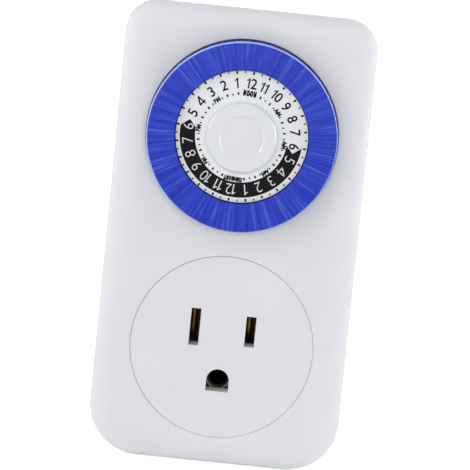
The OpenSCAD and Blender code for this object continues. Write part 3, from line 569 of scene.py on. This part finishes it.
contacts = {
    "thick": 0.4, "cutAt": 26.4, "lineDrop": 0.4, "spring": 2.5,
    # the sprung leaf from its root to its rolled nose, and the stiff one across from it, [across, out]
    "sprung": [(-1.15, 26.0), (-1.1, 26.8), (-0.7, 27.8), (-0.1, 28.6), (0.06, 29.1), (0.02, 29.5),
               (-0.25, 29.72), (-0.6, 29.74), (-0.95, 29.62), (-1.06, 29.3), (-1.08, 28.7)],
    "stiff": [(1.2, 26.0), (1.2, 27.0), (1.12, 28.2), (1.1, 28.8), (1.18, 29.3)],
    # how far the leaf's front bows back along its height, [up from its middle, back]
    "bow": [(-3.3, 1.1), (-2.2, 0.55), (-1.0, 0.2), (0.3, 0.03), (1.6, 0.0), (3.3, 0.0)],
    # the ground contact's wall from its base to its funnel and down inside, [radius, out from the wall]
    "cup": [(0.02, 13.8), (3.38, 13.8), (3.38, 14.4), (2.75, 14.4), (2.75, 30.4), (2.71, 30.52),
            (2.62, 30.52), (2.56, 30.4), (2.2, 28.7), (2.13, 28.2), (2.2, 27.7), (2.48, 26.5), (2.48, 14.5),
            (2.38, 14.4), (0.02, 14.4)],
    "cupSteps": 72, "cupSharpOver": 50, "tinnedAbove": 28.4,
}


def cornerCut(points, rounds):
    # rounds off a line of points by cutting its corners again and again
    for _ in range(rounds):
        cut = [points[0]]
        for (ax, az), (bx, bz) in zip(points, points[1:]):
            cut += [(ax + share * (bx - ax), az + share * (bz - az)) for share in (0.25, 0.75)]
        points = cut + [points[-1]]
    return points


def leafOutline(line):
    # both faces of a leaf, half its thickness either side of its middle line
    line = cornerCut(line, 2)
    half = contacts["thick"] / 2
    left, right = [], []
    for i, (x, z) in enumerate(line):
        ax, az = line[max(i - 1, 0)]
        bx, bz = line[min(i + 1, len(line) - 1)]
        length = math.hypot(bx - ax, bz - az)
        nx, nz = (bz - az) / length * half, -(bx - ax) / length * half
        left.append((x - nx, z - nz))
        right.append((x + nx, z + nz))
    return left + list(reversed(right))


def buildContact(node, name, across, drop):
    # the solid up to its grip, then a leaf that springs across and rolls back, and a stiff one across from it
    c = contacts
    bm = merged(solidMerge, frame["nodes"][node].data)
    cut = bmesh.ops.bisect_plane(bm, geom=bm.verts[:] + bm.edges[:] + bm.faces[:],
                                 plane_co=stand(0, 0, c["cutAt"]), plane_no=(0, -1, 0), clear_outer=True)
    bmesh.ops.holes_fill(bm, edges=[e for e in cut["geom_cut"] if isinstance(e, bmesh.types.BMEdge)])
    for leaf in ("sprung", "stiff"):
        root = c[leaf][0][1]
        loops = []
        for y, back in c["bow"]:
            # the root stays where it is and the nose moves back in full
            line = [(x, z - (drop + back) * min(1.0, (z - root) / c["spring"])) for x, z in c[leaf]]
            loops.append([bm.verts.new(stand(across + x, y, z)) for x, z in leafOutline(line)])
        bridge(bm, loops)
        caps = [bm.faces.new(loops[0]), bm.faces.new(list(reversed(loops[-1])))]
        bmesh.ops.triangulate(bm, faces=caps)
    bmesh.ops.recalc_face_normals(bm, faces=bm.faces)
    # the contacts take the brass painted dark as shade
    piece = meshObject(name, bm, shadeDarkBrass)
    smoothEdges(piece)
    finishPiece(piece, "housing", "brass", node)


def buildGroundContact():
    c = contacts
    cup = lathe(c["cup"], (0, -insert["groundDrop"]), c["cupSteps"])
    # the cup takes the bronze painted dark as shade; its tinned mouth is added next
    piece = meshObject("groundContact", cup, shadeDarkBronze)
    piece.data.materials.append(tinnedBrass)
    for face in piece.data.polygons:
        # the mouth is tinned, the cup below it is painted dark as shade; out from the wall is the scene's -Y
        face.material_index = int(-face.center.y > c["tinnedAbove"] * mm)
    smoothEdges(piece, c["cupSharpOver"])
    finishPiece(piece, "housing", "brass", "ground_contact")


buildFrontHousing()
buildRearHousing()
buildOutletFace()
buildContact("neutral_contact", "neutralContact", -insert["spacing"] / 2, 0.0)
buildContact("line_contact", "lineContact", insert["spacing"] / 2, contacts["lineDrop"])
buildGroundContact()
for node in broken:
    buildBroken(node)
print("housing, outlet, contacts and blades made")


pins = {
    "count": 48, "noon": 84.375, "gap": 0.03, "base": 35.8, "front": 40.2,
    # both ends lean out towards the foot: the inner one leaves a lip, the outer one is the mould's draft
    "inner": 15.13, "innerRound": 0.16, "innerMid": 0.05, "innerLean": 0.1,
    "outer": 21.8, "outerFront": 21.65, "outerRound": 0.36, "draftFrom": 21.0,
    "sideEdge": 0.03, "corner": 0.3, "sharpOver": 20,
    "stemIn": 17.2, "stemOut": 20.2, "stemWidth": 1.2, "stemRoot": 0.3, "foot": 27.0, "barb": 0.6,
    "barbHeight": 1.05,
    "merge": 1e-5, "unevenMm": 0.03, "tilt": 0.003, "tiltHeight": 38.0, "seed": 11,
}


def buildPinMesh():
    # one push pin lying along +X from the dial's axis, drawn in mm: a wedge head, a stem and a barb
    p = pins
    slope = math.tan(math.pi / p["count"])
    front, edge, corner, inner = p["front"], p["sideEdge"], p["sideEdge"] * p["corner"], p["innerRound"]
    stations = [(p["inner"] + inwards, front - below)
                for inwards, below in ((0, inner), (p["innerMid"], p["innerMid"]), (inner, 0))]
    stations += [(p["outerFront"] - p["outerRound"] * inwards, front - p["outerRound"] * below)
                 for inwards, below in roundOff(5)]
    bm = bmesh.new()
    loops = []
    for radius, top in stations:
        w = radius * slope - p["gap"] / 2
        outwards = max(0.0, radius - p["draftFrom"]) / (p["outerFront"] - p["draftFrom"])
        inwards = max(0.0, 1 - (radius - p["inner"]) / inner)
        foot = radius + outwards * (p["outer"] - p["outerFront"]) + p["innerLean"] * inwards
        footW = foot * slope - p["gap"] / 2
        half = [(-w, top - edge), (-w + corner, top - corner), (-w + edge, top)]
        points = [(radius, y, z) for y, z in half + [(-y, z) for y, z in reversed(half)]]
        points += [(foot, footW, p["base"]), (foot, -footW, p["base"])]
        loops.append([bm.verts.new(point) for point in points])
    s, barb, shoulder = p["stemWidth"] / 2, p["stemOut"] + p["barb"], p["foot"] + p["barbHeight"]
    side = [(p["stemIn"], p["base"] + p["stemRoot"]), (p["stemIn"], p["foot"]), (barb, p["foot"]),
            (barb, shoulder), (p["stemOut"], shoulder), (p["stemOut"], p["base"] + p["stemRoot"])]
    stem = [[bm.verts.new((x, y, z)) for x, z in side] for y in (-s, s)]
    for closed in (loops, stem):
        bridge(bm, closed)
        bm.faces.new(list(reversed(closed[0])))
        bm.faces.new(closed[-1])
    bmesh.ops.translate(bm, verts=bm.verts, vec=(0, 0, -p["tiltHeight"]))
    bmesh.ops.remove_doubles(bm, verts=bm.verts, dist=p["merge"])
    bmesh.ops.recalc_face_normals(bm, faces=bm.faces)
    softenShading(bm, p["sharpOver"])
    return meshObject("pinPattern", bm, blueAbs)


def ringTree(name, inputs):
    # the start of a tree that sets copies round the dial's axis
    tree = bpy.data.node_groups.new(name, "GeometryNodeTree")
    tree.interface.new_socket("Geometry", in_out="INPUT", socket_type="NodeSocketGeometry")
    shared = {"Count": "Int", "First": "Float", "Pitch": "Float", "Dial": "Vector", "Material": "Material"}
    for label, kind in {**shared, **inputs}.items():
        tree.interface.new_socket(label, in_out="INPUT", socket_type="NodeSocket" + kind)
    tree.interface.new_socket("Geometry", in_out="OUTPUT", socket_type="NodeSocketGeometry")
    source = addNode(tree, "NodeGroupInput").outputs
    row = addNode(tree, "GeometryNodeMeshLine", {"Offset": (0, 0, 0)}, {"Count": source["Count"]})
    return tree, source, row, addNode(tree, "GeometryNodeInputIndex")


def closeRing(tree, source, index, copies):
    # turns each copy to its place, stands the ring up against the wall and makes it real
    turn = addNode(tree, "ShaderNodeMath", {}, {0: index, 1: source["Pitch"], 2: source["First"]},
                   operation="MULTIPLY_ADD")
    angle = addNode(tree, "ShaderNodeCombineXYZ", {}, {"Z": turn})
    turned = addNode(tree, "GeometryNodeRotateInstances", {"Local Space": False},
                     {"Instances": copies, "Rotation": angle})
    stood = addNode(tree, "GeometryNodeRotateInstances", {"Local Space": False, "Rotation": (quarter, 0, 0)},
                    {"Instances": turned})
    moved = addNode(tree, "GeometryNodeTranslateInstances", {"Local Space": False},
                    {"Instances": stood, "Translation": source["Dial"]})
    real = addNode(tree, "GeometryNodeRealizeInstances", {}, {"Geometry": moved})
    painted = addNode(tree, "GeometryNodeSetMaterial", {}, {"Geometry": real, "Material": source["Material"]})
    addNode(tree, "NodeGroupOutput", {}, {0: painted})
    return tree


def growFromTree(name, tree, values):
    # runs a tree on an empty mesh and keeps what it makes as a plain mesh
    piece = newObject(name, bpy.data.meshes.new(name))
    modifier = piece.modifiers.new("grow", "NODES")
    modifier.node_group = tree
    for item in tree.interface.items_tree:
        if item.name in values:
            modifier[item.identifier] = values[item.name]
    applyModifiers(piece)
    return piece


def pinRingTree():
    # a few pins side by side, each a hair higher or more tilted than the next
    tree, source, row, index = ringTree("pinRing", {
        "Pin": "Object", "Height": "Float", "Uneven": "Float", "Tilt": "Float", "Seed": "Int"})
    pin = addNode(tree, "GeometryNodeObjectInfo", {}, {"Object": source["Pin"]}, transform_space="ORIGINAL")
    spread = []
    for label in ("Uneven", "Tilt"):
        least = addNode(tree, "ShaderNodeMath", {0: 0.0}, {1: source[label]}, operation="SUBTRACT")
        # sockets 2 and 3 are the least and the most of a random number
        spread.append(addNode(tree, "FunctionNodeRandomValue", {}, {
            "Seed": source["Seed"], "ID": index, 2: least, 3: source[label]}).outputs[1])
    lift, lean = spread
    placed = addNode(tree, "GeometryNodeInstanceOnPoints", {},
                     {"Points": row, "Instance": pin.outputs["Geometry"]})
    leaning = addNode(tree, "ShaderNodeCombineXYZ", {}, {"X": lean})
    leaned = addNode(tree, "GeometryNodeRotateInstances", {}, {"Instances": placed, "Rotation": leaning})
    height = addNode(tree, "ShaderNodeMath", {}, {0: lift, 1: source["Height"]}, operation="ADD")
    upwards = addNode(tree, "ShaderNodeCombineXYZ", {}, {"Z": height})
    raised = addNode(tree, "GeometryNodeTranslateInstances", {"Local Space": False},
                     {"Instances": leaned, "Translation": upwards})
    return closeRing(tree, source, index, raised)


def buildPins():
    p = pins
    pattern = buildPinMesh()
    pattern.data.transform(Matrix.Scale(mm, 4))
    tree = pinRingTree()
    pitch = tau / p["count"]
    for hour in range(24):
        first = math.radians(p["noon"]) + (hour - 12) * 2 * pitch + pitch / 2
        piece = growFromTree(f"hourPins{hour:02d}", tree, {
            "Pin": pattern, "Count": 2, "First": first, "Pitch": pitch, "Dial": stand(0, dialPlace["up"], 0),
            "Height": p["tiltHeight"] * mm, "Uneven": p["unevenMm"] * mm, "Tilt": p["tilt"],
            "Seed": p["seed"] + hour, "Material": blueAbs})
        node = f"pins_hour_{hour:02d}"
        finishPiece(piece, node, "blue_abs", node)
    bpy.data.objects.remove(pattern)


hub = {
    "radius": 7.92, "proud": 1.5, "drop": 0.22, "sharpOver": 15, "steps": 144,
    # the plug in the disc, then a small cove that covers its hole, [past the radius, above the disc]
    "foot": [(-0.1, -0.8), (-0.1, 0.01), (0.5, 0.01), (0.5, 0.05), (0.12, 0.1), (0.03, 0.22), (0.0, 0.5)],
    # a flat 45 degree chamfer with its two corners just broken, [in from the radius, below the top]
    "chamfer": [(0.04, 0.36), (0.06, 0.3), (0.34, 0.02), (0.4, 0.0)],
    "dishRadius": 5.0, "dishWall": 0.36, "dish": 0.3, "dishSteps": 8, "middle": 0.02,
}


def buildHubCap():
    h = hub
    top = dialPlace["face"] + h["proud"]
    profile = [(h["radius"] + past, dialPlace["face"] + above) for past, above in h["foot"]]
    profile += [(h["radius"] - inwards, top - below) for inwards, below in h["chamfer"]]
    for k in range(h["dishSteps"] + 1):
        share = k / h["dishSteps"]
        profile.append((h["dishRadius"] + h["dishWall"] * (0.5 - share),
                        top - h["dish"] * share * share * (3 - 2 * share)))
    profile.append((h["middle"], top - h["dish"]))
    # the cap sits a little low in the play of its socket
    cap = meshObject("hubCap", lathe(profile, (0, dialPlace["up"] - h["drop"]), h["steps"]), polishedAbs)
    smoothEdges(cap, h["sharpOver"])
    finishPiece(cap, "dial", "white_abs", "hub_cap")


buildPins()
buildHubCap()
print("dial made")


printing = {
    # the print sits a hair off the disc's middle; film is the ink's thickness, slab that of a glyph as drawn
    "shiftAcross": -0.13, "shiftUp": 0.06, "film": 0.03, "slab": 0.02, "sink": 0.01,
    "nightLift": 0.02, "wordLift": 0.005,
    "tickOuter": 14.85, "longTick": 0.67, "shortTick": 0.48, "longWidth": 0.4, "shortWidth": 0.27,
    "innerTick": 9.42, "innerLong": 0.6, "innerShort": 0.45,
    "bandIn": 10.45, "bandOut": 13.89, "bandSteps": 120, "pointTurn": 7.5,
    # stem is the width of a drawn 1 or 4, weight how much heavier the other figures are than their lettering
    "numberRadius": 12.15, "numberHeight": 2.38, "squeeze": 0.92, "digitGap": 0.24, "oneShift": -0.25,
    "day": {"weight": 0.014, "stem": 0.155}, "night": {"weight": -0.01, "stem": 0.12},
    # text, height, radius, degrees past noon, width against height, gap, and how much heavier than lettering
    "words": [("NOON", 1.42, 9.88, (0,), 0.48, 0.1, 0.13),
              ("MIDNIGHT", 1.05, 9.74, (180,), 0.575, 0.04, 0.18),
              ("PM", 1.12, 9.85, (45, 90, 135), 0.8, 0.12, 0.05),
              ("AM", 1.12, 9.85, (225, 270, 315), 0.8, 0.12, 0.05)],
}


def printPlace(x, y, z):
    return stand(printing["shiftAcross"] + x, dialPlace["up"] + printing["shiftUp"] + y, z)


def tickTree():
    # bars round a circle, every second one shorter and thinner
    sizes = ("Radius", "Side", "Long", "Short", "Long Width", "Short Width", "Film")
    tree, source, row, index = ringTree("tickRing", {label: "Float" for label in sizes})
    odd = addNode(tree, "ShaderNodeMath", {1: 2.0}, {0: index}, operation="MODULO")
    length, width = [
        addNode(tree, "GeometryNodeSwitch", {}, {"Switch": odd, "False": source[full], "True": source[small]},
                input_type="FLOAT") for full, small in (("Long", "Short"), ("Long Width", "Short Width"))]
    half = addNode(tree, "ShaderNodeMath", {1: 0.5}, {0: length}, operation="MULTIPLY")
    middle = addNode(tree, "ShaderNodeMath", {}, {0: half, 1: source["Side"], 2: source["Radius"]},
                     operation="MULTIPLY_ADD")
    size = addNode(tree, "ShaderNodeCombineXYZ", {}, {"X": length, "Y": width, "Z": source["Film"]})
    bar = addNode(tree, "GeometryNodeMeshCube", {"Size": (1, 1, 1)})
    bars = addNode(tree, "GeometryNodeInstanceOnPoints", {}, {"Points": row, "Instance": bar, "Scale": size})
    out = addNode(tree, "ShaderNodeCombineXYZ", {}, {"X": middle})
    outward = addNode(tree, "GeometryNodeTranslateInstances", {"Local Space": False},
                      {"Instances": bars, "Translation": out})
    return closeRing(tree, source, index, outward)


def buildTicks():
    t = printing
    tree = tickTree()
    common = {"Count": pins["count"], "Pitch": tau / pins["count"], "First": math.radians(pins["noon"]),
              "Dial": printPlace(0, 0, dialPlace["face"] + t["film"] / 2), "Film": t["film"] * mm,
              "Long Width": t["longWidth"] * mm, "Short Width": t["shortWidth"] * mm, "Material": blackInk}
    # the outer ticks hang inwards from their circle, the inner ones stand outwards on theirs
    for name, radius, full, small, side in (("hourTicks", "tickOuter", "longTick", "shortTick", -1.0),
                                            ("innerTicks", "innerTick", "innerLong", "innerShort", 1.0)):
        ring = growFromTree(name, tree, {**common, "Radius": t[radius] * mm, "Long": t[full] * mm,
                                         "Short": t[small] * mm, "Side": side})
        finishPiece(ring, "dial", "printed_disc")


def triangulateCaps(bm):
    bmesh.ops.triangulate(bm, faces=[face for face in bm.faces if len(face.verts) > 4])


def buildNightBand():
    # the black band from six in the evening to six in the morning: a point at one end, a notch at the other
    t = printing
    mid, steps = (t["bandIn"] + t["bandOut"]) / 2, t["bandSteps"]
    degrees = [90 + 180 * k / steps for k in range(steps + 1)]
    outline = [(mid, 90 - t["pointTurn"])] + [(t["bandOut"], d) for d in degrees]
    outline += [(mid, 270 - t["pointTurn"])] + [(t["bandIn"], d) for d in reversed(degrees)]
    turned = [(r, math.radians(pins["noon"] + d)) for r, d in outline]
    bm = loft([[printPlace(r * math.cos(a), r * math.sin(a), z) for r, a in turned]
               for z in (dialPlace["face"] - t["sink"], dialPlace["face"] + t["film"])])
    triangulateCaps(bm)
    finishPiece(meshObject("nightBand", bm, blackInk), "dial", "printed_disc")


def figureOne(stem):
    # a flag on a stem, one unit high; a heavier stem has a heavier flag
    right, left, heavier = 0.14, 0.14 - stem, stem - 0.12
    return [[(left, 0), (right, 0), (right, 1), (0.05, 1), (-0.04, 0.88), (-0.21, 0.8),
             (-0.21, 0.69 - heavier), (left - 0.1, 0.74 - heavier), (left, 0.8 - heavier)]]


def figureFour(stem):
    # three strokes that lap at their ends, so the triangle stays open
    bar = stem - 0.01
    return [[(0.6 - bar, 0), (0.6, 0), (0.6, 1), (0.6 - bar, 1)],
            [(0, 0.34 - bar), (0.75, 0.34 - bar), (0.75, 0.34), (0, 0.34)],
            [(0, 0.3), (0.05, 0.33), (0.02 + bar, 0.33), (0.56, 0.98 - bar), (0.56, 1), (0.62 - bar, 1),
             (0, 0.36)]]


drawnFigures = {"1": figureOne, "4": figureFour}


def glyphMesh(character, weight, squeeze, stem):
    # one character as a flat slab, one unit high and standing on the base line at x = 0
    half = printing["slab"] / 2
    if character in drawnFigures:
        data = bpy.data.meshes.new("figure")
        for stroke in drawnFigures[character](stem):
            bm = loft([[Vector((x, y, z)) for x, y in stroke] for z in (-half, half)])
            triangulateCaps(bm)
            bm.from_mesh(data)
            bm.to_mesh(data)
            bm.free()
    else:
        curve = bpy.data.curves.new("lettering", "FONT")
        curve.body = character
        curve.offset = weight
        curve.resolution_u = 5
        curve.extrude = half
        holder = newObject("lettering", curve)
        data = workedOut(holder)
        bpy.data.objects.remove(holder)
        bpy.data.curves.remove(curve)
    xs = [v.co.x for v in data.vertices]
    ys = [v.co.y for v in data.vertices]
    scale = 1 / (max(ys) - min(ys))
    data.transform(Matrix.Diagonal((scale * squeeze, scale, 1, 1))
                   @ Matrix.Translation((-min(xs), -min(ys), 0)))
    return data, (max(xs) - min(xs)) * scale * squeeze


def wordMeshes(text, height, radius, degrees, z, squeeze, gap, weight, stem=0.0, shift=0.0):
    # lettering laid flat on the disc with its top outwards, its middle on the radius
    glyphs = [glyphMesh(character, weight, squeeze, stem) for character in text]
    x = shift - (sum(width for data, width in glyphs) * height + gap * (len(text) - 1)) / 2
    a = math.radians(pins["noon"] + degrees - 90)
    toDisc = Matrix.Translation(printPlace(0, 0, 0)) @ uprightMatrix @ Matrix.Rotation(a, 4, "Z")
    toSize = Matrix.Diagonal((height, height, printing["film"] / printing["slab"], 1))
    for data, width in glyphs:
        data.transform(toDisc @ Matrix.Translation((x, radius - height / 2, z)) @ toSize)
        x += width * height + gap
    return [data for data, width in glyphs]


def finishPrint(name, meshes, ink):
    bm = merged(printMerge, *meshes)
    bmesh.ops.recalc_face_normals(bm, faces=bm.faces)
    for data in meshes:
        bpy.data.meshes.remove(data)
    finishPiece(meshObject(name, bm, ink), "dial", "printed_disc")


def buildNumbers():
    t = printing
    dayZ = dialPlace["face"] + t["film"] / 2
    day, night = [], []
    for hour in range(24):
        # hours after noon, counted the way the dial is printed
        label = str((hour + 11) % 12 + 1)
        isNight = 6 <= hour < 18
        style = t["night"] if isNight else t["day"]
        z = dayZ + t["nightLift"] * isNight
        shift = t["oneShift"] if set(label) == {"1"} else 0.0
        meshes = wordMeshes(label, t["numberHeight"], t["numberRadius"], hour * 15, z, t["squeeze"],
                            t["digitGap"], shift=shift, **style)
        (night if isNight else day).extend(meshes)
    for text, height, radius, places, squeeze, gap, weight in t["words"]:
        for degrees in places:
            day.extend(wordMeshes(text, height, radius, degrees, dayZ + t["wordLift"], squeeze, gap, weight))
    finishPrint("dayNumbers", day, blackInk)
    finishPrint("nightNumbers", night, whiteInk)


buildTicks()
buildNightBand()
buildNumbers()
print("print made")


studio = {
    # the camera's target and distance in mm, its angles in degrees and its lens
    "target": (0.597, -30.0, 21.1), "distance": 850.0, "lens": 284.74, "turn": 0.62, "rise": 7.2,
    "roll": 5.771,
    # a floor of white paper just under the object, that curves up into a backdrop, in metres
    "floorDrop": 0.0002, "floorReach": 3.0, "bendFrom": 0.9, "bend": 0.6, "bendSteps": 16,
    "paper": "#F0F0F0", "paperGlow": 0.86, "worldLight": 0.25,
    # name, place and size in metres, power in watts
    "aim": (0, -0.03, 0.025),
    "lamps": [
        ("front", (0.0, -1.7, 0.15), (1.2, 1.2), 10.8),
        ("key", (-0.5, -0.7, 0.85), (0.4, 0.4), 1.5),
        ("topStrip", (0.0, -0.152, 0.95), (0.9, 0.03), 0.55),
        ("leftFill", (-0.9, -0.7, 0.1), (0.5, 0.9), 2.4),
        ("leftStrip", (-0.75, -0.12, 0.1), (0.16, 0.7), 1.9),
        ("rightStrip", (0.75, -0.12, 0.1), (0.16, 0.7), 3.6),
        ("back", (0.3, 0.75, 0.6), (0.7, 0.7), 3.0),
    ],
}


def buildCamera():
    s = studio
    turn, rise, roll = (math.radians(s[k]) for k in ("turn", "rise", "roll"))
    looking = (Matrix.Rotation(turn, 4, "Z") @ Matrix.Rotation(quarter - rise, 4, "X")
               @ Matrix.Rotation(roll, 4, "Z"))
    data = bpy.data.cameras.new("camera")
    data.lens = s["lens"]
    data.clip_start, data.clip_end = 0.05, 20
    camera = newObject("camera", data)
    camera.matrix_world = (Matrix.Translation(Vector(s["target"]) * mm) @ looking
                           @ Matrix.Translation((0, 0, s["distance"] * mm)))
    scene.camera = camera


def buildLamp(name, place, size, power):
    data = bpy.data.lights.new(name, "AREA")
    data.shape = "RECTANGLE"
    data.size, data.size_y = size
    data.energy = power
    lamp = newObject(name, data)
    lamp.location = place
    lamp.rotation_euler = (Vector(studio["aim"]) - Vector(place)).to_track_quat("-Z", "Y").to_euler()


def seenStraight(tree):
    # 1 for what the camera sees straight on, in a mirror or through clear plastic
    rays = addNode(tree, "ShaderNodeLightPath").outputs
    seen = addNode(tree, "ShaderNodeMath", {}, {0: rays["Is Camera Ray"], 1: rays["Is Glossy Ray"]},
                   operation="MAXIMUM")
    return addNode(tree, "ShaderNodeMath", {}, {0: seen, 1: rays["Is Transmission Ray"]}, operation="MAXIMUM")


def buildFloor():
    s = studio
    reach, start, bend = s["floorReach"], s["bendFrom"], s["bend"]
    floorZ = housing["bottom"] * mm - s["floorDrop"]
    angles = [quarter * k / s["bendSteps"] for k in range(1, s["bendSteps"] + 1)]
    profile = [(-reach, 0.0), (start, 0.0)]
    profile += [(start + bend * math.sin(a), bend - bend * math.cos(a)) for a in angles]
    profile.append((start + bend, reach))
    bm = bmesh.new()
    rows = [[bm.verts.new((x, y, floorZ + z)) for y, z in profile] for x in (-reach, reach)]
    for i in range(len(profile) - 1):
        bm.faces.new((rows[0][i], rows[1][i], rows[1][i + 1], rows[0][i + 1]))
    for face in bm.faces:
        face.smooth = True
    # uncoated paper: flat white, with a glow of its own only where it is looked at
    paper, tree, shader, place = startMaterial("white studio paper", s["paper"], 0.9)
    glow = addNode(tree, "ShaderNodeEmission", {"Color": (1, 1, 1, 1), "Strength": s["paperGlow"]})
    added = addNode(tree, "ShaderNodeAddShader", {}, {0: shader, 1: glow})
    mixed = addNode(tree, "ShaderNodeMixShader", {}, {0: seenStraight(tree), 1: shader, 2: added})
    joinNodes(tree, tree.nodes["Material Output"], {"Surface": mixed})
    floor = meshObject("floor", bm, paper)


def buildWorld():
    world = bpy.data.worlds.new("studio")
    scene.world = world
    world.use_nodes = True
    tree = world.node_tree
    background = tree.nodes["Background"]
    background.inputs["Color"].default_value = (1, 1, 1, 1)
    background.inputs["Strength"].default_value = studio["worldLight"]
    white = addNode(tree, "ShaderNodeBackground", {"Color": (1, 1, 1, 1), "Strength": 1.0})
    mixed = addNode(tree, "ShaderNodeMixShader", {}, {0: seenStraight(tree), 1: background, 2: white})
    joinNodes(tree, tree.nodes["World Output"], {"Surface": mixed})


buildCamera()
buildFloor()
buildWorld()
for name, place, size, power in studio["lamps"]:
    buildLamp(name, place, size, power)
scene.view_settings.view_transform = "Standard"
print("studio made")
